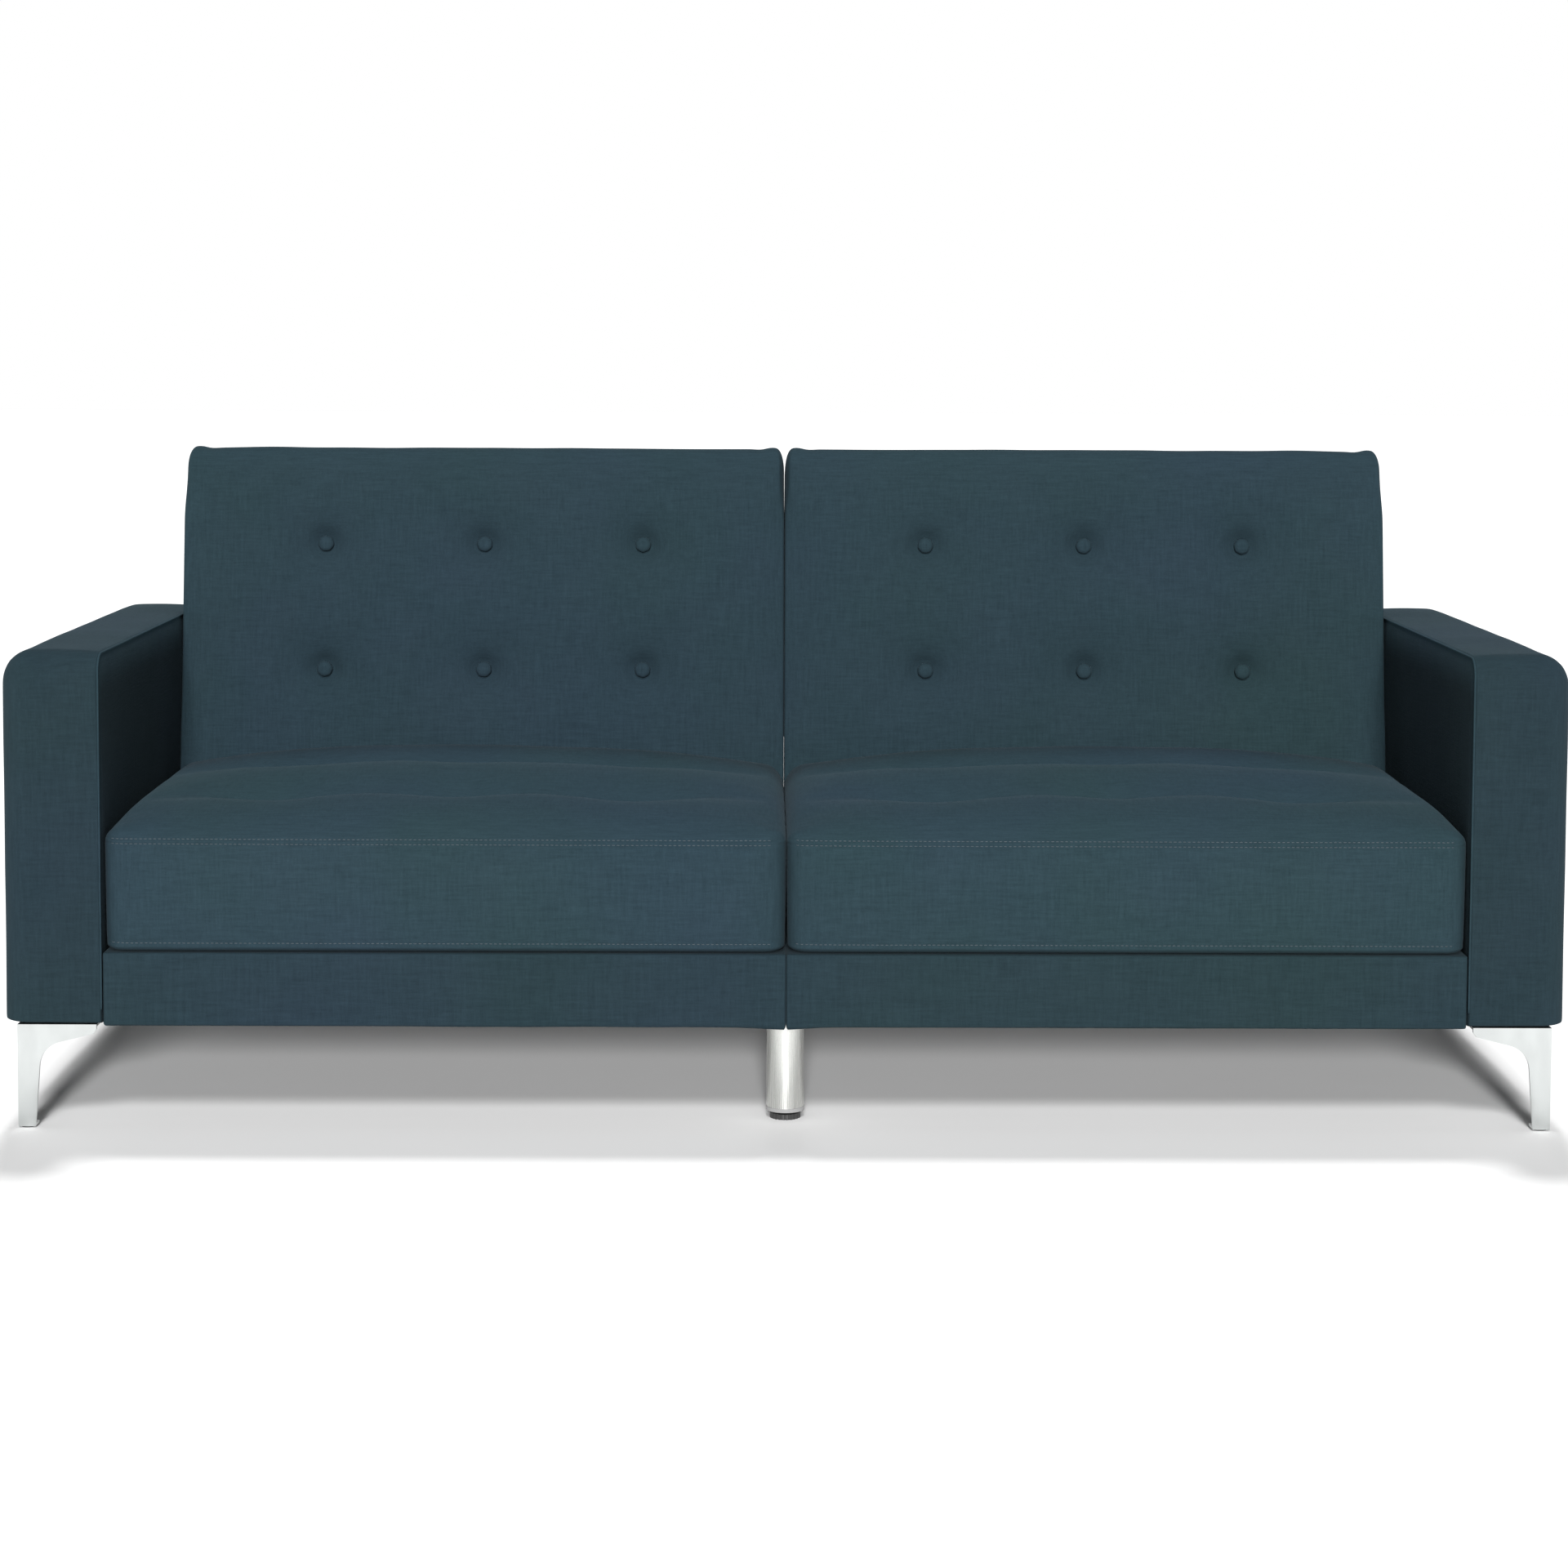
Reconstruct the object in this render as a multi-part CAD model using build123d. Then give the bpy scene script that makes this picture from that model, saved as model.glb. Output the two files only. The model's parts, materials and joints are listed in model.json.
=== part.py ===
from build123d import *
import math
import os

# Split-back click-clack sofa bed: two arms, two seat modules and two reclining backrests.
# Millimetres. X is the width, +Y the rear, +Z up; the origin is on the floor under the middle.

# ---- overall
WIDTH = 2000.0
DEPTH = 790.0
FRONT = -DEPTH / 2
REAR = DEPTH / 2
UNDERSIDE = 134.0  # floor to the underside of arms and bases
SKIN = 2.0  # upholstery fabric with its lining
FOAM_GAP = 0.3  # between a foam core and the fabric over it
BOARD = 25.0  # timber rails and stiles

# ---- arms
ARM_WIDTH = 130.0
ARM_TOP = 610.0
ARM_SKIN = 3.0
ARM_PADDING = 9.0
ARM_TOP_ROUND = 22.0
ARM_FRONT_ROUND = 28.0
ARM_REAR_ROUND = 34.0
ARM_EDGE_ROUND = 7.0
ARM_RAIL = 40.0
ARM_PANEL = 6.0
ARM_INNER = WIDTH / 2 - ARM_WIDTH

# ---- one seat and back module, about its own middle
HALF_PITCH = ARM_INNER / 2
BASE_HALF = HALF_PITCH
BASE_FRONT = FRONT + 2
BASE_REAR = 380.0
BASE_TOP = 226.0
DECK = 10.0
DUST_COVER = 1.0
CUSHION_HALF = BASE_HALF - 2
SEAT_REAR = 154.0
SEAT_TOP = 404.0
SEAT_FRONT_ROUND = 30.0
SEAT_REAR_ROUND = 18.0
CROSS_RAIL_X = 115.0

# ---- backrest, about its pivot: y towards its rear, z up its length
LEAN = 8.0
RECLINE_STOPS = (0.0, 28.0, 82.0)  # upright, half way and flat
PIVOT_Y = 209.0
PIVOT_Z = 359.0
BACK_FACE = -45.0
BACK_REAR = 85.0
BACK_LOW = -45.0
BACK_TOP = 495.0
BACK_FRAME_FRONT = -15.0
BACK_FRAME_REAR = 79.0
BACK_FRAME_LOW = -33.0
BACK_FRAME_TOP = 472.0
BACK_FRAME_HALF = 422.5
BACK_BOARD = 3.0

# ---- tufting
BUTTON_RADIUS = 11.5
BUTTON_HEIGHT = 6.0
BUTTON_COLUMNS = (-230.0, 0.0, 230.0)
BACK_BUTTON_ROWS = (169.0, 351.0)
SEAT_BUTTON_ROWS = (-215.0, 5.0)
DIMPLE_DEPTH = 16.0
DIMPLE_RIM = 36.0
DIMPLE_FLOOR = 13.0
TIE_RADIUS = 1.5
CLASP_RADIUS = 8.0

# ---- recliner hinge at each end of a backrest
PLATE = 3.0
BACK_PLATE_X = BACK_FRAME_HALF
SEAT_PLATE_X = BACK_PLATE_X + PLATE + 0.5
HEAD_RADIUS = 28.0
NOTCH_DEPTH = 4.6
NOTCH_WIDTH = 11.0
PIVOT_PIN = 5.0
PAWL_PIN = 3.0
RUNNING_GAP = 0.05
PAWL_Y = 34.0
PAWL_Z = 30.0
PAWL_LIFT = 0.4
POCKET_TOP = 66.0
POCKET_FRONT = -32.0
SEAT_PLATE_REACH = 212.0  # pivot down to the foot of the seat plate
SEAT_PLATE_FRONT = -50.0
SEAT_PLATE_REAR = 60.0

# ---- legs
LEG_INSET = 20.0
LEG_SPAN = 101.0
LEG_FOOT = 22.0
LEG_WALL = 4.0
LEG_PLATE = 3.0
GLIDE = 2.0
TUBE_RADIUS = 24.5
TUBE_WALL = 2.0
CENTRE_LEG_SET_BACK = 75.0
COLLAR_LOW = 10.5
COLLAR_HIGH = 15.5
FOOT_RADIUS = 20.0
FOOT_HEIGHT = 7.0
STUD_RADIUS = 5.0

# ---- fasteners
SCREW_RADIUS = 2.4
SCREW_HOLE = 2.5
BOLT_RADIUS = 4.0
BOLT_HOLE = 4.1
BOLT_HEIGHT = 158.0
BOLT_PLACES = (-300.0, -60.0, 330.0)

SIDES = {"left": -1, "right": 1}


def block(x0, x1, y0, y1, z0, z1):
    """A box from its limits."""
    size = Box(x1 - x0, y1 - y0, z1 - z0)
    return Pos((x0 + x1) / 2, (y0 + y1) / 2, (z0 + z1) / 2) * size


def rod_x(x0, x1, y, z, radius):
    """A round rod along X."""
    return Pos((x0 + x1) / 2, y, z) * Rot(0, 90, 0) * Cylinder(radius, abs(x1 - x0))


def rod_z(x, y, z0, z1, radius):
    """A round rod along Z."""
    return Pos(x, y, (z0 + z1) / 2) * Cylinder(radius, z1 - z0)


def slab_x(face, x0, x1):
    """A face drawn as (y, z), given a thickness from x0 to x1."""
    return extrude(Plane.YZ.offset(min(x0, x1)) * face, abs(x1 - x0))


def polygon(*points):
    """A face with straight sides."""
    return make_face(Polyline(*points, close=True))


def rounded(shape, axis, radius, keep):
    """Fillets the edges along an axis whose middle passes a test."""
    edges = [edge for edge in shape.edges().filter_by(axis) if keep(edge.center())]
    return fillet(edges, radius)


def joined(shapes):
    """One solid from overlapping or touching shapes."""
    result = shapes[0]
    for shape in shapes[1:]:
        result += shape
    return result


def without(shape, cutters):
    """A shape with every cutter taken away."""
    for cutter in cutters:
        shape -= cutter
    return shape


def group(shapes):
    """Separate solids kept together in one node."""
    return Compound([solid for shape in shapes for solid in shape.solids()])


def module_x(side):
    """The middle of one half of the sofa."""
    return SIDES[side] * HALF_PITCH


def on_backrest(side, shape):
    """Moves a shape from the backrest's own frame to its place, leaning back."""
    return Pos(module_x(side), PIVOT_Y, PIVOT_Z) * Rot(-LEAN, 0, 0) * shape


# ---------------------------------------------------------------- tufting


def dimple(inset):
    """A round dip opening upwards at z = 0, deeper and wider by the inset."""
    depth = DIMPLE_DEPTH + inset
    return Pos(0, 0, -depth / 2) * Cone(DIMPLE_FLOOR + inset, DIMPLE_RIM + inset, depth)


def button(tie_length):
    """A covered button on the floor of a dimple, its tie and the clasp at the tie's end."""
    dome = rod_z(0, 0, -DIMPLE_DEPTH, -DIMPLE_DEPTH + BUTTON_HEIGHT, BUTTON_RADIUS)
    dome = fillet(dome.edges().sort_by(Axis.Z)[-1], 3.5)
    end = -DIMPLE_DEPTH - tie_length
    tie = rod_z(0, 0, end, -DIMPLE_DEPTH, TIE_RADIUS)
    clasp = rod_z(0, 0, end - 2, end, CLASP_RADIUS)
    return joined([dome, tie, clasp])


def tie_hole(length):
    """The hole that a button's tie runs through."""
    return rod_z(0, 0, -length, 0, TIE_RADIUS + 0.1)


def back_places():
    """Where the backrest's buttons sit, each facing forwards."""
    return [
        Pos(x, BACK_FACE, z) * Rot(90, 0, 0) for x in BUTTON_COLUMNS for z in BACK_BUTTON_ROWS
    ]


def seat_places():
    """Where the seat's buttons sit, each facing up."""
    return [Pos(x, y, SEAT_TOP) for x in BUTTON_COLUMNS for y in SEAT_BUTTON_ROWS]


# ---------------------------------------------------------------- arms


def arm_block(inset, lift):
    """The outer shape of the right arm, drawn in by the inset and raised underneath by the lift."""
    x0, x1 = ARM_INNER + inset, WIDTH / 2 - inset
    y0, y1 = FRONT + inset, REAR - inset
    z1 = ARM_TOP - inset
    shape = block(x0, x1, y0, y1, UNDERSIDE + lift, z1)
    middle = (UNDERSIDE + ARM_TOP) / 2
    shape = rounded(
        shape, Axis.X, ARM_FRONT_ROUND - inset, lambda c: c.Z > middle and c.Y < 0
    )
    shape = rounded(
        shape, Axis.X, ARM_REAR_ROUND - inset, lambda c: c.Z > middle and c.Y > 0
    )
    outer = [e for e in shape.edges() if abs(e.center().X - x1) < 0.01]
    shape = fillet(outer, ARM_TOP_ROUND - inset)
    inner = [e for e in shape.edges() if abs(e.center().X - x0) < 0.01]
    return fillet(inner, max(ARM_EDGE_ROUND - inset, 2))


def arm_core():
    """The outside of the right arm's timber box."""
    return arm_block(ARM_SKIN + FOAM_GAP + ARM_PADDING, ARM_SKIN + FOAM_GAP)


def arm_frame(side):
    """Timber posts, rails and panels as one glued box."""
    inset = ARM_SKIN + FOAM_GAP + ARM_PADDING
    void = block(
        ARM_INNER + inset + ARM_PANEL,
        WIDTH / 2 - inset - ARM_PANEL,
        FRONT + inset + BOARD,
        REAR - inset - BOARD,
        UNDERSIDE + ARM_SKIN + ARM_RAIL,
        ARM_TOP - inset - BOARD,
    )
    shape = without(arm_core() - void, arm_bolt_holes() + leg_screw_holes())
    return mirrored(side, shape)


def arm_padding(side):
    """Foam sheet glued over the arm's timber box, open underneath."""
    inset = ARM_SKIN + FOAM_GAP
    shape = without(arm_block(inset, inset) - arm_core(), arm_bolt_holes())
    return mirrored(side, shape)


def arm_cover(side):
    """The arm's padded fabric, closed all round."""
    shape = arm_block(0, 0) - arm_block(ARM_SKIN, ARM_SKIN)
    shape = without(shape, arm_bolt_holes() + leg_screw_holes())
    return mirrored(side, shape)


def mirrored(side, shape):
    """A right-hand part, or its mirror image on the left."""
    if side == "right":
        return shape
    return mirror(shape, about=Plane.YZ)


# ---------------------------------------------------------------- bases


def mechanism_rebates():
    """Slots down both ends of a base for the seat plates of the hinges."""
    top = BASE_TOP + 1
    low = PIVOT_Z - SEAT_PLATE_REACH - 2
    y0 = PIVOT_Y + SEAT_PLATE_FRONT - 2
    y1 = PIVOT_Y + SEAT_PLATE_REAR + 2
    edge = BASE_HALF - SKIN
    return [
        block(SEAT_PLATE_X, edge + 0.5, y0, y1, low, top),
        block(-edge - 0.5, -SEAT_PLATE_X, y0, y1, low, top),
    ]


def base_frame(side):
    """Rails of one base, glued at the corners, with two cross rails."""
    half = BASE_HALF - SKIN
    y0, y1 = BASE_FRONT + SKIN, BASE_REAR - SKIN
    z0, z1 = UNDERSIDE + DUST_COVER, BASE_TOP - DECK
    rails = [
        block(-half, half, y0, y0 + BOARD, z0, z1),
        block(-half, half, y1 - BOARD, y1, z0, z1),
        block(-half, -half + BOARD, y0, y1, z0, z1),
        block(half - BOARD, half, y0, y1, z0, z1),
    ]
    for x in (-CROSS_RAIL_X, CROSS_RAIL_X):
        rails.append(block(x - BOARD / 2, x + BOARD / 2, y0, y1, z0, z1))
    shape = without(joined(rails), mechanism_rebates() + module_bolt_holes(side))
    shape = without(shape, seat_plate_screw_holes() + centre_leg_holes(side))
    return Pos(module_x(side), 0, 0) * shape


def seat_deck(side):
    """The plywood deck let into the top of a base."""
    half = BASE_HALF - SKIN
    y0, y1 = BASE_FRONT + SKIN, BASE_REAR - SKIN
    shape = block(-half, half, y0, y1, BASE_TOP - DECK, BASE_TOP)
    holes = [place * tie_hole(SEAT_TOP - BASE_TOP + DECK + 1) for place in seat_places()]
    shape = without(shape, mechanism_rebates() + holes)
    return Pos(module_x(side), 0, 0) * shape


def base_cover(side):
    """Fabric round the four sides of a base."""
    outer = block(-BASE_HALF, BASE_HALF, BASE_FRONT, BASE_REAR, UNDERSIDE, BASE_TOP)
    half = BASE_HALF - SKIN
    y0, y1 = BASE_FRONT + SKIN, BASE_REAR - SKIN
    shape = outer - block(-half, half, y0, y1, UNDERSIDE - 1, BASE_TOP + 1)
    shape = without(shape, module_bolt_holes(side))
    return Pos(module_x(side), 0, 0) * shape


def dust_cover(side):
    """Thin cloth under a base, tacked to its rails."""
    half = BASE_HALF - SKIN
    y0, y1 = BASE_FRONT + SKIN, BASE_REAR - SKIN
    shape = block(-half, half, y0, y1, UNDERSIDE, UNDERSIDE + DUST_COVER)
    shape = without(shape, centre_leg_holes(side))
    return Pos(module_x(side), 0, 0) * shape


# ---------------------------------------------------------------- seats


def seat_block(inset):
    """The outer shape of a seat cushion with its tufts, drawn in by the inset."""
    half = CUSHION_HALF - inset
    y0, y1 = BASE_FRONT + inset, SEAT_REAR - inset
    z0, z1 = BASE_TOP + inset, SEAT_TOP - inset
    shape = block(-half, half, y0, y1, z0, z1)
    middle = (z0 + z1) / 2
    shape = rounded(shape, Axis.X, SEAT_FRONT_ROUND - inset, lambda c: c.Z > middle and c.Y < 0)
    shape = rounded(shape, Axis.X, SEAT_REAR_ROUND - inset, lambda c: c.Z > middle and c.Y > 0)
    ends = [e for e in shape.edges() if abs(abs(e.center().X) - half) < 0.01]
    shape = fillet(ends, 8 - inset)
    return without(shape, [place * dimple(inset) for place in seat_places()])


def seat_cover(side):
    """The seat cushion's fabric."""
    holes = [place * tie_hole(SEAT_TOP - BASE_TOP + 1) for place in seat_places()]
    shape = without(seat_block(0) - seat_block(SKIN), holes)
    return Pos(module_x(side), 0, 0) * shape


def seat_foam(side):
    """The seat cushion's foam core."""
    holes = [place * tie_hole(SEAT_TOP - BASE_TOP + 1) for place in seat_places()]
    shape = without(seat_block(SKIN + FOAM_GAP), holes)
    return Pos(module_x(side), 0, 0) * shape


def seat_buttons(side):
    """The seat's six buttons, tied down through the deck."""
    tie = SEAT_TOP - DIMPLE_DEPTH - (BASE_TOP - DECK)
    shape = group([place * button(tie) for place in seat_places()])
    return Pos(module_x(side), 0, 0) * shape


# ---------------------------------------------------------------- backrests


def back_block(inset):
    """The outer shape of a backrest with its tufts, drawn in by the inset."""
    half = CUSHION_HALF - inset
    y0, y1 = BACK_FACE + inset, BACK_REAR - inset
    z0, z1 = BACK_LOW + inset, BACK_TOP - inset
    shape = block(-half, half, y0, y1, z0, z1)
    middle = (z0 + z1) / 2
    shape = rounded(shape, Axis.X, 40 - inset, lambda c: c.Z > middle and c.Y < 0)
    shape = rounded(shape, Axis.X, 22 - inset, lambda c: c.Z > middle and c.Y > 0)
    shape = rounded(shape, Axis.X, 30 - inset, lambda c: c.Z < middle and c.Y < 0)
    shape = rounded(shape, Axis.X, 14 - inset, lambda c: c.Z < middle and c.Y > 0)
    ends = [e for e in shape.edges() if abs(abs(e.center().X) - half) < 0.01]
    shape = fillet(ends, 12 - inset)
    return without(shape, [place * dimple(inset) for place in back_places()])


def hinge_pockets():
    """Recesses at both ends of a backrest, in which the hinges fold."""
    far = CUSHION_HALF + 1
    rear = BACK_REAR + 1
    low = BACK_LOW - 1
    return [
        block(BACK_PLATE_X, far, POCKET_FRONT, rear, low, POCKET_TOP),
        block(-far, -BACK_PLATE_X, POCKET_FRONT, rear, low, POCKET_TOP),
    ]


def plate_channels():
    """Room beside the stiles for the back plates and their screw heads."""
    inner, outer = BACK_PLATE_X - 1, BACK_PLATE_X + PLATE + 2.5
    return [
        block(inner, outer, -24, 24, POCKET_TOP - 1, 196),
        block(-outer, -inner, -24, 24, POCKET_TOP - 1, 196),
    ]


def back_cover(side):
    """The backrest's fabric, cut back round the hinges."""
    holes = [place * tie_hole(-BACK_FACE + BACK_FRAME_FRONT) for place in back_places()]
    shape = without(back_block(0) - back_block(SKIN), holes + hinge_pockets())
    return on_backrest(side, shape)


def back_foam(side):
    """Foam over the front, top, bottom and ends of the backrest's frame."""
    half = BACK_FRAME_HALF
    y0 = BACK_FRAME_FRONT - BACK_BOARD
    cavity = block(-half, half, y0, BACK_REAR, BACK_FRAME_LOW, BACK_FRAME_TOP)
    trim = block(-half - 20, half + 20, BACK_FRAME_REAR, BACK_REAR, BACK_LOW, BACK_TOP)
    holes = [place * tie_hole(-BACK_FACE + BACK_FRAME_FRONT) for place in back_places()]
    shape = without(back_block(SKIN + FOAM_GAP), [cavity, trim] + holes)
    shape = without(shape, hinge_pockets() + plate_channels())
    return on_backrest(side, shape)


def back_board(side):
    """The thin board on the front of the frame, which carries the foam and the ties."""
    half = BACK_FRAME_HALF
    y0 = BACK_FRAME_FRONT - BACK_BOARD
    shape = block(-half, half, y0, BACK_FRAME_FRONT, BACK_FRAME_LOW, BACK_FRAME_TOP)
    holes = [place * tie_hole(-BACK_FACE + BACK_FRAME_FRONT + 1) for place in back_places()]
    return on_backrest(side, without(shape, holes))


def back_frame(side):
    """Stiles and rails of a backrest, glued into one ladder."""
    half, y0, y1 = BACK_FRAME_HALF, BACK_FRAME_FRONT, BACK_FRAME_REAR
    z0, z1 = BACK_FRAME_LOW, BACK_FRAME_TOP
    members = [
        block(-half, half, y0, y1, z0, z0 + BOARD),
        block(-half, half, y0, y1, z1 - BOARD, z1),
        block(-half, -half + BOARD, y0, y1, z0, z1),
        block(half - BOARD, half, y0, y1, z0, z1),
    ]
    for x in (-CROSS_RAIL_X, CROSS_RAIL_X):
        members.append(block(x - BOARD / 2, x + BOARD / 2, y0, y1, z0, z1))
    shape = joined(members)
    for end in (-1, 1):
        inner = end * (BACK_PLATE_X - 3.5)
        outer = end * (BACK_PLATE_X + 1)
        shape -= rod_x(inner, outer, 0, 0, 9.5)
        shape -= rod_x(inner, outer, PAWL_Y, PAWL_Z, 6.5)
        for z in (110, 165):
            shape -= rod_x(end * 398, outer, 0, z, SCREW_HOLE)
    return on_backrest(side, shape)


def back_panel(side):
    """The hardboard panel that closes the rear of the frame."""
    half = BACK_FRAME_HALF
    y0 = BACK_FRAME_REAR
    y1 = BACK_REAR - SKIN - FOAM_GAP
    shape = block(-half, half, y0, y1, BACK_FRAME_LOW, BACK_FRAME_TOP)
    return on_backrest(side, shape)


def back_buttons(side):
    """The backrest's six buttons, tied through the board."""
    tie = -BACK_FACE - DIMPLE_DEPTH + BACK_FRAME_FRONT
    return on_backrest(side, group([place * button(tie) for place in back_places()]))


# ---------------------------------------------------------------- recliner hinges


def seat_plate(end):
    """The fixed plate: a notched head at the pivot on a foot screwed to the base."""
    foot = polygon(
        (SEAT_PLATE_FRONT, -SEAT_PLATE_REACH),
        (SEAT_PLATE_REAR, -SEAT_PLATE_REACH),
        (SEAT_PLATE_REAR, -88),
        (14, -62),
        (14, -12),
        (-HEAD_RADIUS, 0),
        (-HEAD_RADIUS, -70),
        (SEAT_PLATE_FRONT, -88),
    )
    face = foot + Circle(HEAD_RADIUS)
    face -= Circle(PIVOT_PIN + RUNNING_GAP)
    for stop in RECLINE_STOPS:
        lean = stop + LEAN
        notch = Pos(0, HEAD_RADIUS) * Rectangle(NOTCH_WIDTH, 2 * NOTCH_DEPTH)
        face -= Rot(0, 0, -lean) * notch
    x0 = end * SEAT_PLATE_X
    shape = slab_x(face, x0, x0 + end * PLATE)
    return Pos(0, PIVOT_Y, PIVOT_Z) * shape - joined(seat_plate_screw_holes())


def back_plate(end):
    """The moving plate, screwed to a stile, with an ear for the pawl."""
    arm = Pos(0, 95) * RectangleRounded(40, 190, 8)
    ear = make_hull(Circle(16).edges() + (Pos(PAWL_Y, PAWL_Z) * Circle(11)).edges())
    face = arm + Circle(24) + ear
    face -= Circle(PIVOT_PIN + 0.02)
    face -= Pos(PAWL_Y, PAWL_Z) * Circle(PAWL_PIN + 0.02)
    for z in (110, 165):
        face -= Pos(0, z) * Circle(SCREW_HOLE)
    x0 = end * BACK_PLATE_X
    return slab_x(face, x0, x0 + end * PLATE)


def pawl(end):
    """The catch that drops into the notches, drawn lifted just clear of the head."""
    beam = make_hull(
        (Pos(PAWL_Y, PAWL_Z) * Circle(7)).edges() + (Pos(0, 38) * Rectangle(12, 6)).edges()
    )
    tip = HEAD_RADIUS + PAWL_LIFT
    tooth = polygon((-4, 36), (4, 36), (3, tip), (-3, tip))
    face = beam + tooth
    face -= Pos(PAWL_Y, PAWL_Z) * Circle(PAWL_PIN + RUNNING_GAP)
    x0 = end * SEAT_PLATE_X
    return slab_x(face, x0, x0 + end * PLATE)


def pawl_spring(end):
    """A leaf of spring steel over the pawl, bent from a tab on the back plate."""
    near = end * (BACK_PLATE_X + PLATE)
    far = end * (SEAT_PLATE_X + PLATE)
    leaf = polygon((-5, 41.6), (21, 41.6), (21, 58), (20.2, 58), (20.2, 42.4), (-5, 42.4))
    tab = polygon((8, 46), (21, 46), (21, 58), (8, 58))
    shape = slab_x(leaf, near, far) + slab_x(tab, near, near + end * 0.8)
    return shape - rod_x(near - end, near + 2 * end, 14, 52, 1.6)


def rivet(end, y, z, pin, head):
    """A headed pin through both plates."""
    inner = end * BACK_PLATE_X
    outer = end * (SEAT_PLATE_X + PLATE + 0.2)
    return joined([
        rod_x(inner - end * 2, inner, y, z, head),
        rod_x(inner, outer, y, z, pin),
        rod_x(outer, outer + end * 2, y, z, head),
    ])


def spring_rivet(end):
    """The small rivet through a spring's tab."""
    start = end * (BACK_PLATE_X + PLATE)
    return joined([
        rod_x(start, start + end * 0.8, 14, 52, 1.5),
        rod_x(start + end * 0.8, start + end * 1.8, 14, 52, 3),
    ])


def back_plate_screw(end, z):
    """A screw that holds a back plate on its stile."""
    start = end * (BACK_PLATE_X + PLATE)
    return joined([
        rod_x(end * 400, start, 0, z, SCREW_RADIUS),
        rod_x(start, start + end * 2, 0, z, 5),
    ])


def seat_plate_screw_places():
    """Three screws in the foot of a seat plate, as (y, z)."""
    low = PIVOT_Z - SEAT_PLATE_REACH
    return [(PIVOT_Y - 30, low + 20), (PIVOT_Y + 40, low + 20), (PIVOT_Y + 5, low + 50)]


def seat_plate_screw_holes():
    """Holes for those screws through plate and rail, at both ends."""
    return [
        rod_x(end * 410, end * (SEAT_PLATE_X + PLATE + 1), y, z, SCREW_HOLE)
        for end in (-1, 1)
        for y, z in seat_plate_screw_places()
    ]


def seat_plate_screws():
    """All screws that hold the seat plates."""
    screws = []
    for side in SIDES:
        for end in (-1, 1):
            start = end * (SEAT_PLATE_X + PLATE)
            for y, z in seat_plate_screw_places():
                shank = rod_x(end * 411, start, y, z, SCREW_RADIUS)
                head = rod_x(start, start + end * 2, y, z, 5)
                screws.append(Pos(module_x(side), 0, 0) * (shank + head))
    return group(screws)


def hinge_nodes(side):
    """The plates, pawls, springs and pins of one backrest's pair of hinges."""
    ends = (-1, 1)
    pins = [rivet(end, 0, 0, PIVOT_PIN, 9) for end in ends]
    pins += [rivet(end, PAWL_Y, PAWL_Z, PAWL_PIN, 6) for end in ends]
    pins += [spring_rivet(end) for end in ends]
    screws = [back_plate_screw(end, z) for end in ends for z in (110, 165)]
    seat_plates = group([seat_plate(end) for end in ends])
    return {
        side + "_hinge_seat_plates": Pos(module_x(side), 0, 0) * seat_plates,
        side + "_hinge_back_plates": on_backrest(side, group([back_plate(e) for e in ends])),
        side + "_hinge_pawls": on_backrest(side, group([pawl(end) for end in ends])),
        side + "_pawl_springs": on_backrest(side, group([pawl_spring(end) for end in ends])),
        side + "_hinge_rivets": on_backrest(side, group(pins)),
        side + "_back_plate_screws": on_backrest(side, group(screws)),
    }


# ---------------------------------------------------------------- bolts


def arm_bolt_holes():
    """Holes in the right arm for the bolts from its base."""
    return [
        rod_x(ARM_INNER - 5, ARM_INNER + 42, y, BOLT_HEIGHT, BOLT_HOLE) for y in BOLT_PLACES
    ]


def module_bolt_holes(side):
    """Holes through both end rails of a base."""
    inner = BASE_HALF - SKIN - BOARD - 1
    return [
        rod_x(end * inner, end * (BASE_HALF + 1), y, BOLT_HEIGHT, BOLT_HOLE)
        for end in (-1, 1)
        for y in BOLT_PLACES
    ]


def arm_bolts():
    """Bolts from inside each base into the arm beside it."""
    start = ARM_INNER - SKIN - BOARD
    bolts = []
    for end in (-1, 1):
        for y in BOLT_PLACES:
            head = rod_x(end * (start - 5), end * start, y, BOLT_HEIGHT, 7)
            shank = rod_x(end * start, end * (ARM_INNER + 40), y, BOLT_HEIGHT, BOLT_RADIUS)
            bolts.append(head + shank)
    return group(bolts)


def centre_bolts():
    """Bolts and nuts that clamp the two bases together."""
    grip = SKIN + BOARD
    parts = []
    for y in BOLT_PLACES:
        head = rod_x(-grip - 5, -grip, y, BOLT_HEIGHT, 7)
        shank = rod_x(-grip, grip + 9, y, BOLT_HEIGHT, BOLT_RADIUS)
        hexagon = extrude(Plane.YZ.offset(grip) * RegularPolygon(7.5, 6), 6.5)
        nut = Pos(0, y, BOLT_HEIGHT) * hexagon
        nut -= rod_x(grip - 1, grip + 8, y, BOLT_HEIGHT, BOLT_RADIUS + 0.02)
        parts += [head + shank, nut]
    return group(parts)


# ---------------------------------------------------------------- legs


def leg_corners():
    """The outer corner of each corner leg and the direction into the sofa, by name."""
    x = WIDTH / 2 - LEG_INSET
    y = REAR - 5
    return {
        "front_left_leg": (-x, -y, 1, 1),
        "front_right_leg": (x, -y, -1, 1),
        "rear_left_leg": (-x, y, 1, -1),
        "rear_right_leg": (x, y, -1, -1),
    }


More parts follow.
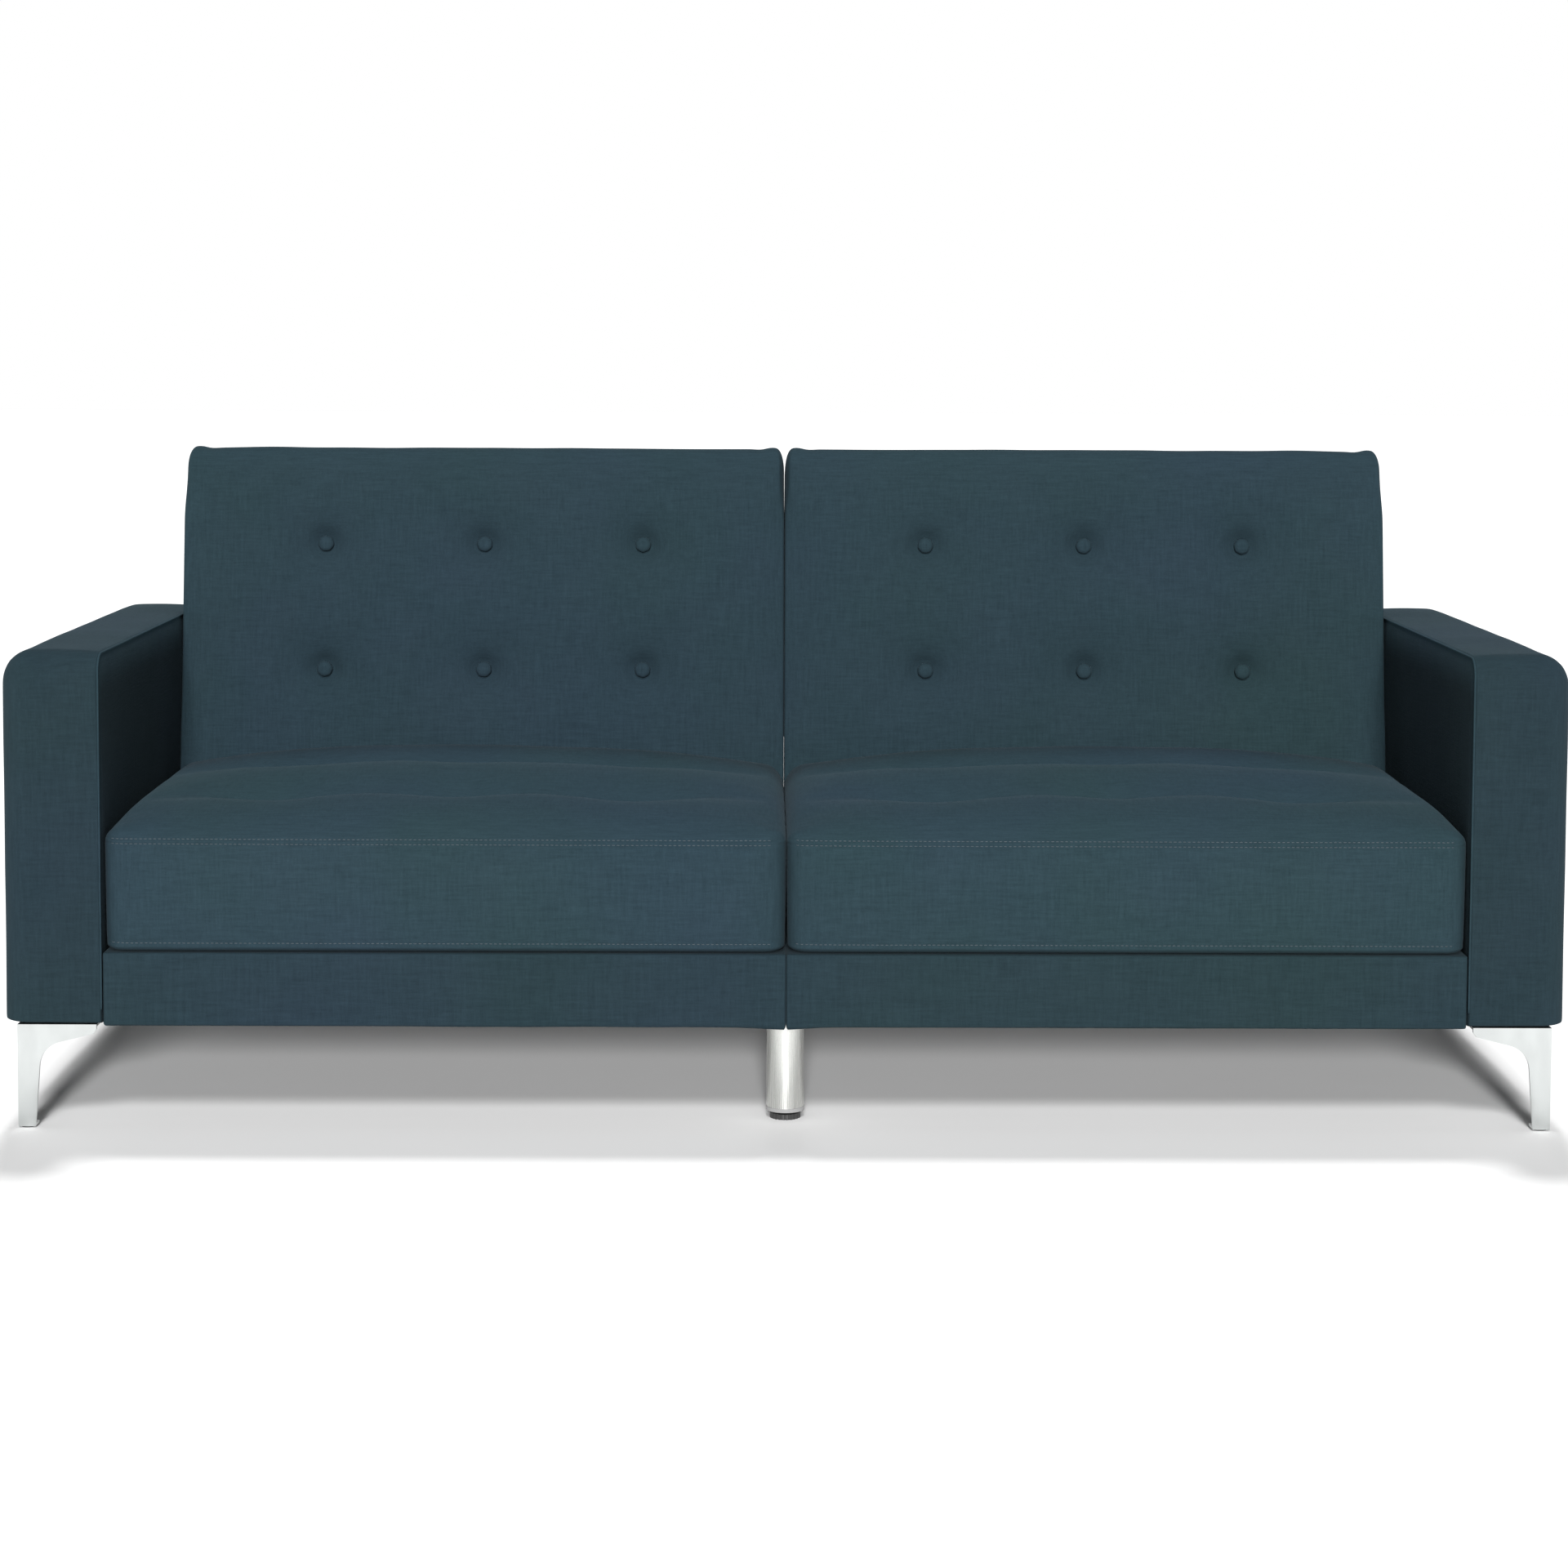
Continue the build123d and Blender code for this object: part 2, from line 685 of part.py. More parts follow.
def leg_profile():
    """One wall of a corner leg: narrow at the floor, sweeping out under the arm."""
    top = UNDERSIDE
    outline = Polyline(
        (0, GLIDE),
        (LEG_FOOT, GLIDE),
        (30, 105),
        (LEG_SPAN - 4, 122),
        (LEG_SPAN, 128),
        (LEG_SPAN, top),
        (0, top),
        close=True,
    )
    face = make_face(outline)
    knee = min(face.vertices(), key=lambda v: (Vector(*v) - Vector(30, 105, 0)).length)
    return fillet([knee], 34)


def corner_leg(x, y, dx, dy):
    """Two swept walls at right angles with a mounting plate and a foot plate."""
    walls = extrude(Plane.XZ * leg_profile(), -LEG_WALL)
    walls += mirror(walls, about=Plane(origin=(0, 0, 0), z_dir=(1, -1, 0)))
    plate = block(0, LEG_SPAN, 0, LEG_SPAN, UNDERSIDE - LEG_PLATE, UNDERSIDE)
    foot = block(0, LEG_FOOT, 0, LEG_FOOT, GLIDE, GLIDE + 3)
    shape = joined([walls, plate, foot])
    for px, py in leg_screw_places():
        shape -= rod_z(px, py, UNDERSIDE - 5, UNDERSIDE + 1, SCREW_HOLE)
    if dx < 0:
        shape = mirror(shape, about=Plane.YZ)
    if dy < 0:
        shape = mirror(shape, about=Plane.XZ)
    return Pos(x, y, 0) * shape


def leg_screw_places():
    """Screws in a leg's mounting plate, from its outer corner."""
    return [(26, 26), (80, 26), (26, 80)]


def leg_screw_holes():
    """Holes for the leg screws in the right arm."""
    holes = []
    for x, y, dx, dy in leg_corners().values():
        if x > 0:
            for px, py in leg_screw_places():
                holes.append(
                    rod_z(x + dx * px, y + dy * py, UNDERSIDE - 1, UNDERSIDE + 28, SCREW_HOLE)
                )
    return holes


def leg_screws():
    """All screws that hold the corner legs."""
    screws = []
    low = UNDERSIDE - LEG_PLATE
    for x, y, dx, dy in leg_corners().values():
        for px, py in leg_screw_places():
            cx, cy = x + dx * px, y + dy * py
            shank = rod_z(cx, cy, low, UNDERSIDE + 27, SCREW_RADIUS)
            screws.append(shank + rod_z(cx, cy, low - 3, low, 5))
    return group(screws)


def leg_glides():
    """A plastic glide under each corner leg."""
    middle = LEG_FOOT / 2
    return group([
        rod_z(x + dx * middle, y + dy * middle, 0, GLIDE, 9)
        for x, y, dx, dy in leg_corners().values()
    ])


def centre_leg_places():
    """The two legs under the joint between the bases, as name and y."""
    return {"front": FRONT + CENTRE_LEG_SET_BACK, "rear": BASE_REAR - CENTRE_LEG_SET_BACK}


def centre_leg(y):
    """A steel tube welded to a square mounting plate."""
    plate = block(-50, 50, y - 50, y + 50, UNDERSIDE - 4, UNDERSIDE)
    tube = rod_z(0, y, COLLAR_HIGH, UNDERSIDE - 4, TUBE_RADIUS)
    bore = rod_z(0, y, COLLAR_HIGH - 1, UNDERSIDE - 4, TUBE_RADIUS - TUBE_WALL)
    shape = plate + (tube - bore)
    for x, dy in centre_screw_places():
        shape -= rod_z(x, y + dy, UNDERSIDE - 5, UNDERSIDE + 1, SCREW_HOLE)
    return shape


def centre_screw_places():
    """Screws in a centre leg's plate, from its middle; each lands in an end rail."""
    return [(x, dy) for x in (-15, 15) for dy in (-38, 38)]


def centre_leg_holes(side):
    """Screw holes for the centre legs, in the frame of one base."""
    holes = []
    for y in centre_leg_places().values():
        for x, dy in centre_screw_places():
            if x * SIDES[side] > 0:
                local = x - module_x(side)
                holes.append(rod_z(local, y + dy, UNDERSIDE - 1, UNDERSIDE + 28, SCREW_HOLE))
    return holes


def centre_leg_screws():
    """All screws that hold the centre legs."""
    low = UNDERSIDE - 4
    screws = []
    for y in centre_leg_places().values():
        for x, dy in centre_screw_places():
            shank = rod_z(x, y + dy, low, UNDERSIDE + 27, SCREW_RADIUS)
            screws.append(shank + rod_z(x, y + dy, low - 3, low, 4.5))
    return group(screws)


def leg_collar(y):
    """A threaded plastic plug with a flange, pushed into the end of a centre leg."""
    flange = rod_z(0, y, COLLAR_LOW, COLLAR_HIGH, TUBE_RADIUS + 0.5)
    plug = rod_z(0, y, COLLAR_HIGH, COLLAR_HIGH + 20, TUBE_RADIUS - TUBE_WALL - 0.02)
    bore = rod_z(0, y, COLLAR_LOW - 1, COLLAR_HIGH + 21, STUD_RADIUS + RUNNING_GAP)
    return flange + plug - bore


def levelling_foot(y):
    """A ribbed disc on a stud."""
    disc = rod_z(0, y, 0, FOOT_HEIGHT, FOOT_RADIUS)
    for step in range(24):
        angle = math.radians(15 * step)
        x = FOOT_RADIUS * math.cos(angle)
        disc -= rod_z(x, y + FOOT_RADIUS * math.sin(angle), -1, FOOT_HEIGHT + 1, 1.1)
    return disc + rod_z(0, y, FOOT_HEIGHT, 46, STUD_RADIUS)


# ---------------------------------------------------------------- the whole sofa


def build_nodes():
    """Every node's shape by name."""
    nodes = {}
    for side in SIDES:
        nodes[side + "_arm_frame"] = arm_frame(side)
        nodes[side + "_arm_padding"] = arm_padding(side)
        nodes[side + "_arm_cover"] = arm_cover(side)
        nodes[side + "_base_frame"] = base_frame(side)
        nodes[side + "_base_cover"] = base_cover(side)
        nodes[side + "_seat_deck"] = seat_deck(side)
        nodes[side + "_dust_cover"] = dust_cover(side)
        nodes[side + "_seat_foam"] = seat_foam(side)
        nodes[side + "_seat_cover"] = seat_cover(side)
        nodes[side + "_seat_buttons"] = seat_buttons(side)
        nodes[side + "_back_frame"] = back_frame(side)
        nodes[side + "_back_board"] = back_board(side)
        nodes[side + "_back_foam"] = back_foam(side)
        nodes[side + "_back_cover"] = back_cover(side)
        nodes[side + "_back_panel"] = back_panel(side)
        nodes[side + "_back_buttons"] = back_buttons(side)
        nodes.update(hinge_nodes(side))
    for name, corner in leg_corners().items():
        nodes[name] = corner_leg(*corner)
    for name, y in centre_leg_places().items():
        nodes[name + "_centre_leg"] = centre_leg(y)
        nodes[name + "_leg_collar"] = leg_collar(y)
        nodes[name + "_levelling_foot"] = levelling_foot(y)
    nodes["leg_glides"] = leg_glides()
    nodes["leg_screws"] = leg_screws()
    nodes["centre_leg_screws"] = centre_leg_screws()
    nodes["seat_plate_screws"] = seat_plate_screws()
    nodes["arm_bolts"] = arm_bolts()
    nodes["centre_bolts"] = centre_bolts()
    return nodes


os.makedirs("parts", exist_ok=True)
for node, shape in build_nodes().items():
    export_step(shape, f"parts/{node}.step")
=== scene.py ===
"""The sofa bed's soft pieces, materials, light and camera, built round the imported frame."""

import json
import math

import bpy
import numpy as np
from mathutils import Matrix, Vector, noise
from mathutils.bvhtree import BVHTree


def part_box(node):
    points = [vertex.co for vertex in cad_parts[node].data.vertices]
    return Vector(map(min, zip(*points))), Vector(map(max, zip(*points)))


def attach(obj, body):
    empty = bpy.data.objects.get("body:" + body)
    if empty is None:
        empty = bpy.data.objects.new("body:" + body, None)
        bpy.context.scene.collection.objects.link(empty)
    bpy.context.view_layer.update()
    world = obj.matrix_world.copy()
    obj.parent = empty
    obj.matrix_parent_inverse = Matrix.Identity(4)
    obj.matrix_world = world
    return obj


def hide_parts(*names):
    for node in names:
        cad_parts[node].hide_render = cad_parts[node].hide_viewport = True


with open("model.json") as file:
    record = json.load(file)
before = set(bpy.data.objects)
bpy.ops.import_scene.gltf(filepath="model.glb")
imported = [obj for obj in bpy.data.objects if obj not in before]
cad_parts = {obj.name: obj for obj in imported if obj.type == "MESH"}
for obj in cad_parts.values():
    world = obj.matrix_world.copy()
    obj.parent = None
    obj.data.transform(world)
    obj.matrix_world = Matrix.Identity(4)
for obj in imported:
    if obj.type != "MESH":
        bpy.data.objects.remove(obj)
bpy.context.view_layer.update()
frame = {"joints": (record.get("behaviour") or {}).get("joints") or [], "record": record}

MM = 0.001
SIDES = {"left": -1, "right": 1}
scene = bpy.context.scene

# ---- places, from the frame
joints = {joint["name"]: joint for joint in frame["joints"]}
slots = {part["node"]: part["material_slot"] for part in frame["record"]["subparts"]}
PIVOT = Vector(joints["right_recline"]["pos_m"])
HALF_PITCH = PIVOT.x
LEAN = math.radians(8)
BACK_PLACE = Matrix.Translation((0, PIVOT.y, PIVOT.z)) @ Matrix.Rotation(-LEAN, 4, "X")

# ---- tufting
BUTTON_COLUMNS = (-0.230, 0.0, 0.230)
BACK_BUTTON_ROWS = (0.169, 0.351)
SEAT_BUTTON_ROWS = (-0.215, 0.005)
BACK_TUFT = 35 * MM
BACK_TUFT_FLOOR = 27 * MM
SEAT_TUFT = 36 * MM
TUFT_CORE = 17 * MM
TUFT_SPREAD = 50 * MM
BUTTON_SINK = 16 * MM
BUTTON_HOLD = 12 * MM

# ---- seat cushion
SEAT_SEAM = 0.373
SEAM_GAP = 6 * MM
SEAT_ROUNDS = ((26, 28, 10), (26, 18, 32))
ROLL_SEAM = 14 * MM
SEAT_DROP = 5 * MM
SEAT_CROWN = 34 * MM
SEAT_FRONT_FALL = 17 * MM
SEAT_VALLEY = 13 * MM
SEAT_VALLEY_WIDTH = 36 * MM
SEAT_CREASE = 22 * MM
SEAT_CREASE_WIDTH = 11 * MM
SEAT_CREASE_LENGTH = 65 * MM
SEAT_BULGE = 3 * MM

# ---- backrest cushion, in its own leaning frame
BACK_ROUNDS = ((11, 44, 26), (11, 20, 34))
BACK_EDGE_ROUND = 9 * MM
BACK_LOW_ROUND = 5 * MM
BACK_CROWN = 5 * MM
BACK_ROLL = 7 * MM
EAR_CENTRE = 16 * MM
NOTCH_CENTRE = 33 * MM
POCKET_HALF = 0.4215
POCKET_FRONT = -0.030
POCKET_TOP = 0.066

# ---- both kinds of cushion: the pitch of their points, and how far their ends reach past the CAD
CUSHION_PITCH = 9 * MM
END_SWELL = 1.9 * MM

# ---- arms and base
ARM_ROUNDS = ((4, 36, 5), (38, 44, 40))
ARM_INNER_ROUND = 26 * MM
ARM_CROWN = 2.5 * MM
WELT_RADIUS = 1.5 * MM

# ---- cloth simulation
PRESSURE = 4
FRAMES = 20
SEAT_CAP = 7 * MM
BACK_CAP = 5 * MM


# ================================================================ geometry


def grid_lines(low, high, pitch, low_round, high_round, extra=()):
    """Grid lines from low to high, closer together through the rounded edges."""
    steps = 4
    turns = [1 - math.tan(math.pi / 4 * (1 - k / steps)) for k in range(steps + 1)]
    first = [low + low_round * turn for turn in turns]
    last = [high - high_round * turn for turn in turns]
    count = max(1, round((last[-1] - first[-1]) / pitch))
    middle = np.linspace(first[-1], last[-1], count + 1)[1:-1]
    near = 0.45 * pitch
    kept = [x for x in middle if all(abs(x - other) > near for other in extra)]
    rounding = [x for x in (*first[1:], *last[1:]) if all(abs(x - other) > MM for other in extra)]
    return np.array(sorted([low, high, *rounding, *kept, *extra]))


def lattice(lines):
    """A box's surface as shared points and four-sided faces on the given grid lines."""
    sizes = [len(axis_lines) for axis_lines in lines]
    index, points, faces = {}, [], []

    def corner(cell):
        if cell not in index:
            index[cell] = len(points)
            points.append([lines[axis][cell[axis]] for axis in range(3)])
        return index[cell]

    for axis in range(3):
        u, v = (axis + 1) % 3, (axis + 2) % 3
        for end in (0, sizes[axis] - 1):
            for i in range(sizes[u] - 1):
                for j in range(sizes[v] - 1):
                    face = []
                    for di, dj in ((0, 0), (1, 0), (1, 1), (0, 1)):
                        cell = [0, 0, 0]
                        cell[axis], cell[u], cell[v] = end, i + di, j + dj
                        face.append(corner(tuple(cell)))
                    faces.append(face if end else face[::-1])
    return np.array(points), faces


def rounded_box(low, high, rounds, pitch, extra=((), (), ()), vary=None):
    """A box with rounded edges: its points, the outward direction at each, and its faces.

    The rounds are how far each edge's curve reaches from the low and the high sides, and vary may
    change them from place to place.
    """
    low, high = np.array(low), np.array(high)
    rounds = np.array(rounds) * MM
    lines = [
        grid_lines(low[a], high[a], pitch, rounds[0][a], rounds[1][a], extra[a]) for a in range(3)
    ]
    points, faces = lattice(lines)
    near, far = (np.tile(row, (len(points), 1)) for row in rounds)
    if vary:
        vary(points, near, far)
    core = np.clip(points, low + near, high - far)
    radii = np.where(points < core, near, far)
    part = (points - core) / radii
    part /= np.linalg.norm(part, axis=1, keepdims=True)
    outward = part / radii
    outward /= np.linalg.norm(outward, axis=1, keepdims=True)
    return core + part * radii, outward, faces


def local_box(node, place):
    """A node's lowest and highest corners in another frame."""
    back = place.inverted()
    mesh = frame_object(node).data
    points = np.array([back @ vertex.co for vertex in mesh.vertices])
    return points.min(axis=0), points.max(axis=0)


def frame_object(node):
    """The Blender object of a CAD node."""
    return bpy.data.objects[node]


def new_piece(name, points, faces, material, place=None):
    """A smooth mesh piece at a place."""
    mesh = bpy.data.meshes.new(name)
    mesh.from_pydata(np.asarray(points).tolist(), [], faces)
    mesh.polygons.foreach_set("use_smooth", [True] * len(mesh.polygons))
    mesh.materials.append(material)
    piece = bpy.data.objects.new(name, mesh)
    scene.collection.objects.link(piece)
    if place is not None:
        piece.matrix_world = place
    bpy.context.view_layer.update()
    return piece


def read_points(mesh):
    """A mesh's points as an array."""
    flat = np.empty(len(mesh.vertices) * 3)
    mesh.vertices.foreach_get("co", flat)
    return flat.reshape(-1, 3)


def write_points(mesh, points):
    """Moves a mesh's points."""
    mesh.vertices.foreach_set("co", np.asarray(points).ravel())
    mesh.update()


def read_normals(mesh):
    """A mesh's vertex normals as an array."""
    return np.array([vertex.normal for vertex in mesh.vertices])


def subdivided(piece):
    """Gives a piece one level of smooth subdivision."""
    modifier = piece.modifiers.new("smooth", "SUBSURF")
    modifier.levels = 1
    modifier.render_levels = 1
    graph = bpy.context.evaluated_depsgraph_get()
    finer = bpy.data.meshes.new_from_object(piece.evaluated_get(graph))
    piece.modifiers.clear()
    old = piece.data
    piece.data = finer
    bpy.data.meshes.remove(old)
    finer.name = piece.name


def puffed(piece, held, cap):
    """Swells a piece as cloth under pressure, with some points held and every move capped."""
    start = read_points(piece.data)
    group = piece.vertex_groups.new(name="held")
    for index in np.flatnonzero(held > 0.001):
        group.add([int(index)], float(held[index]), "REPLACE")
    cloth = piece.modifiers.new("Cloth", "CLOTH")
    settings = cloth.settings
    settings.quality = 5
    settings.mass = 0.002
    settings.tension_stiffness = 5
    settings.compression_stiffness = 5
    settings.shear_stiffness = 1.7
    settings.bending_stiffness = 0.1
    settings.use_pressure = True
    settings.uniform_pressure_force = PRESSURE
    settings.effector_weights.gravity = 0
    settings.vertex_group_mass = group.name
    cloth.collision_settings.use_collision = False
    cloth.point_cache.frame_start = 1
    cloth.point_cache.frame_end = FRAMES
    for number in range(1, FRAMES + 1):
        scene.frame_set(number)
    graph = bpy.context.evaluated_depsgraph_get()
    moved = read_points(piece.evaluated_get(graph).data) - start
    piece.modifiers.remove(cloth)
    piece.vertex_groups.clear()
    scene.frame_set(1)
    reach = np.linalg.norm(moved, axis=1, keepdims=True)
    limit = cap * np.tanh(reach / cap) / np.maximum(reach, 1e-9)
    write_points(piece.data, start + moved * limit * (1 - np.asarray(held)[:, None]))
    print("cloth", piece.name, "moved", round(float(reach.max()) / MM, 1), "mm at most")


def uneven(points, size, amount, seed):
    """Small smooth differences over a piece, the same on every run."""
    offset = Vector((seed * 3.7, seed * 1.3, seed * 2.1))
    values = [noise.noise(Vector(point) / size + offset) for point in points]
    return np.array(values) * amount


def bump(distance, width):
    """A smooth bump of height 1."""
    return np.exp(-((distance / width) ** 2))


def ramp(value, start, end):
    """Rises smoothly from 0 to 1 between start and end."""
    t = np.clip((value - start) / (end - start), 0, 1)
    return t * t * (3 - 2 * t)


def tuft_dip(a, b, rows, depth):
    """How far the buttons pull the fabric in at a place on the face, with soft folds round them."""
    dip = np.zeros(len(a))
    for column, centre in enumerate(BUTTON_COLUMNS):
        for row in rows:
            away = np.hypot(a - centre, b - row)
            angle = np.arctan2(b - row, a - centre)
            folds = 1 + 0.05 * np.sin(5 * angle + column + 20 * row) * ramp(away, 0.008, 0.03)
            near = 0.6 * bump(away, TUFT_CORE) + 0.4 * bump(away, TUFT_SPREAD)
            dip += depth * near * folds
    return dip


def near_buttons(a, b, rows, reach):
    """1 at the buttons, falling to 0 a little further out."""
    hold = np.zeros(len(a))
    for centre in BUTTON_COLUMNS:
        for row in rows:
            hold = np.maximum(hold, 1 - ramp(np.hypot(a - centre, b - row), reach, 1.8 * reach))
    return hold


def mirrored(piece, name):
    """A copy of a left-hand piece for the right-hand side."""
    points = read_points(piece.data) * (-1, 1, 1)
    faces = [list(polygon.vertices)[::-1] for polygon in piece.data.polygons]
    return new_piece(name, points, faces, piece.data.materials[0], piece.matrix_world)


def tree_of(piece):
    """A search tree over a piece's faces, in its own coordinates."""
    mesh = piece.data
    return BVHTree.FromPolygons(
        [vertex.co for vertex in mesh.vertices], [polygon.vertices for polygon in mesh.polygons]
    )


def along_surface(tree, points, direction):
    """Where rays from the points meet a piece, with the surface's directions there."""
    found = []
    for point in points:
        place, normal, _, _ = tree.ray_cast(Vector(point), Vector(direction))
        if place is not None:
            found.append((place, normal))
    return found


def stitches(name, runs, material, place=None):
    """Short raised threads along runs of surface points, in one piece."""
    length, width, height = 4.2 * MM, 0.5 * MM, 0.45 * MM
    points, faces = [], []
    for run in runs:
        for (here, normal), (after, _) in zip(run[:-1], run[1:]):
            ahead = (after - here).normalized()
            across = ahead.cross(normal).normalized()
            base = len(points)
            for step, size in ((-0.5, 0.35), (-0.3, 1), (0.3, 1), (0.5, 0.35)):
                middle = here + ahead * length * step + normal * height * (size - 0.6)
                for turn in range(6):
                    angle = turn * math.pi / 3
                    side = across * width * size * math.cos(angle)
                    points.append(middle + side + normal * height * size * math.sin(angle))
            for ring in range(3):
                for turn in range(6):
                    a = base + ring * 6 + turn
                    b = base + ring * 6 + (turn + 1) % 6
                    faces.append([a, b, b + 6, a + 6])
            faces.append([base + turn for turn in range(5, -1, -1)])
            faces.append([base + 18 + turn for turn in range(6)])
    return new_piece(name, points, faces, material, place)


def tube(name, path, radius, material, place=None):
    """A round cord along a path, closed at both ends."""
    sides = 10
    points, faces = [], []
    across = (path[1] - path[0]).normalized().orthogonal()
    for index, here in enumerate(path):
        before = path[max(index - 1, 0)]
        after = path[min(index + 1, len(path) - 1)]
        ahead = (after - before).normalized()
        across = (across - ahead * across.dot(ahead)).normalized()
        other = ahead.cross(across)
        for turn in range(sides):
            angle = 2 * math.pi * turn / sides
            points.append(here + radius * (across * math.cos(angle) + other * math.sin(angle)))
        if index:
            for turn in range(sides):
                a = (index - 1) * sides + turn
                b = (index - 1) * sides + (turn + 1) % sides
                faces.append([a, b, b + sides, a + sides])
    end = len(points) - sides
    faces.append(list(range(sides - 1, -1, -1)))
    faces.append(list(range(end, end + sides)))
    return new_piece(name, points, faces, material, place)


# ================================================================ materials


def add(tree, kind, inputs=None, **properties):
    """Adds a shader node, linking or setting its inputs."""
    made = tree.nodes.new(kind)
    for name, value in properties.items():
        setattr(made, name, value)
    for name, value in (inputs or {}).items():
        if isinstance(value, bpy.types.NodeSocket):
            tree.links.new(value, made.inputs[name])
        else:
            made.inputs[name].default_value = value
    return made


def started(name, **settings):
    """A new material with its shader's fixed settings."""
    material = bpy.data.materials.new(name)
    material.use_nodes = True
    shader = material.node_tree.nodes["Principled BSDF"]
    for setting, value in settings.items():
        shader.inputs[setting.replace("_", " ")].default_value = value
    return material, material.node_tree, shader


def grain(tree, scales, detail=2.0, kind="ShaderNodeTexNoise"):
    """Noise in the piece's own coordinates, stretched by its scales per metre."""
    place = add(tree, "ShaderNodeTexCoord").outputs["Object"]
    stretched = add(tree, "ShaderNodeMapping", {"Vector": place, "Scale": scales})
    inputs = {"Vector": stretched.outputs["Vector"], "Scale": 1.0, "Detail": detail}
    return add(tree, kind, inputs).outputs["Fac"]


def maths(tree, operation, first, second):
    """One step of arithmetic between sockets or numbers."""
    made = add(tree, "ShaderNodeMath", operation=operation)
    for index, value in enumerate((first, second)):
        if isinstance(value, bpy.types.NodeSocket):
            tree.links.new(value, made.inputs[index])
        else:
            made.inputs[index].default_value = value
    return made.outputs[0]


def spread(tree, value, low, high):
    """Maps the middle of a noise to a range."""
    inputs = {"Value": value, "From Min": 0.3, "From Max": 0.7, "To Min": low, "To Max": high}
    return add(tree, "ShaderNodeMapRange", inputs).outputs["Result"]


def tinted(tree, factor, first, second):
    """A colour between two colours."""
    made = add(tree, "ShaderNodeMix", {"Factor": factor}, data_type="RGBA")
    made.inputs[6].default_value = (*first, 1)
    made.inputs[7].default_value = (*second, 1)
    return made.outputs[2]


def bumped(tree, shader, height, strength, distance):
    """Lets a height roughen the surface."""
    inputs = {"Height": height, "Strength": strength, "Distance": distance}
    made = add(tree, "ShaderNodeBump", inputs)
    tree.links.new(made.outputs["Normal"], shader.inputs["Normal"])


def facing(tree, axis):
    """How much the surface faces away from an axis, from 0 to 1."""
    normal = add(tree, "ShaderNodeTexCoord").outputs["Normal"]
    parts = add(tree, "ShaderNodeSeparateXYZ", {"Vector": normal})
    size = maths(tree, "ABSOLUTE", parts.outputs[axis], 0.0)
    return maths(tree, "SUBTRACT", 1.0, size)


def threads(tree, fine, coarse):
    """Crossed linen threads: streaks along each axis, on the surfaces that run along it."""
    total = None
    for axis in range(3):
        scales = [fine] * 3
        scales[axis] = coarse
        streak = maths(tree, "SUBTRACT", grain(tree, scales), 0.5)
        share = maths(tree, "MULTIPLY", streak, facing(tree, axis))
        total = share if total is None else maths(tree, "ADD", total, share)
    return total


# The fabric's darkest and palest threads, whose dye drifts between blue and green.
DARK_BLUE = (0.0066, 0.0138, 0.0206)
DARK_GREEN = (0.0062, 0.0148, 0.0174)
PALE_BLUE = (0.0142, 0.0272, 0.0392)
PALE_GREEN = (0.0136, 0.0288, 0.0336)


def shade(colour, painted_light_tone):
    """A colour made lighter or darker; the upholstery uses it to paint light and shade into its copies.
    """
    return tuple(part * painted_light_tone for part in colour)


def upholstery(name, painted_light_tone):
    """Dark blue-green linen-look polyester with fine slubs; its tone makes lit and shaded copies: above
    1 is painted light, below 1 painted shade.
    """
    material, tree, shader = started(
        name,
        Roughness=0.93,
        Specular_IOR_Level=0.12,
        Sheen_Weight=0.02,
        Sheen_Roughness=0.4,
        Sheen_Tint=(0.45, 0.6, 0.7, 1),
    )
    slubs = threads(tree, 330, 26)
    fine = threads(tree, 1100, 120)
    both = maths(tree, "ADD", slubs, maths(tree, "MULTIPLY", fine, 0.8))
    light = maths(tree, "ADD", maths(tree, "MULTIPLY", both, 0.7), 0.5)
    drift = spread(tree, grain(tree, (2.2, 2.2, 2.2), 3.0), 0, 1)
    dark = tinted(tree, drift, shade(DARK_BLUE, painted_light_tone), shade(DARK_GREEN, painted_light_tone))
    pale = tinted(tree, drift, shade(PALE_BLUE, painted_light_tone), shade(PALE_GREEN, painted_light_tone))
    colour = add(tree, "ShaderNodeMix", {"Factor": light}, data_type="RGBA")
    tree.links.new(dark, colour.inputs[6])
    tree.links.new(pale, colour.inputs[7])
    tree.links.new(colour.outputs[2], shader.inputs["Base Color"])
    tree.links.new(spread(tree, grain(tree, (9, 9, 9)), 0.90, 0.97), shader.inputs["Roughness"])
    bumped(tree, shader, both, 0.35, 0.0008)
    return material


def thread():
    """The sewing thread, a little paler than the fabric and slightly glossy."""
    material, tree, shader = started("thread", Roughness=0.55, Sheen_Weight=0.1)
    twist = grain(tree, (2500, 2500, 2500), 1.0)
    tree.links.new(
        tinted(tree, twist, (0.008, 0.016, 0.022), (0.018, 0.034, 0.045)),
        shader.inputs["Base Color"],
    )
    bumped(tree, shader, twist, 0.3, 0.0002)
    return material


def chrome():
    """Bright chrome with a very fine polish haze."""
    material, tree, shader = started("leg_chrome", Metallic=1.0)
    haze = grain(tree, (60, 60, 18), 3.0)
    tree.links.new(spread(tree, haze, 0.16, 0.24), shader.inputs["Roughness"])
    colour = tinted(tree, grain(tree, (8, 8, 8)), (0.51, 0.53, 0.525), (0.56, 0.58, 0.575))
    tree.links.new(colour, shader.inputs["Base Color"])
    bumped(tree, shader, grain(tree, (900, 900, 250)), 0.03, 0.0001)
    return material


def tube_steel():
    """Brushed satin steel, its brush marks running round the tube."""
    material, tree, shader = started("tube_steel", Metallic=1.0)
    marks = grain(tree, (700, 700, 14), 3.0)
    tree.links.new(spread(tree, marks, 0.20, 0.34), shader.inputs["Roughness"])
    colour = tinted(tree, marks, (0.60, 0.61, 0.585), (0.70, 0.70, 0.675))
    tree.links.new(colour, shader.inputs["Base Color"])
    bumped(tree, shader, marks, 0.05, 0.0001)
    return material


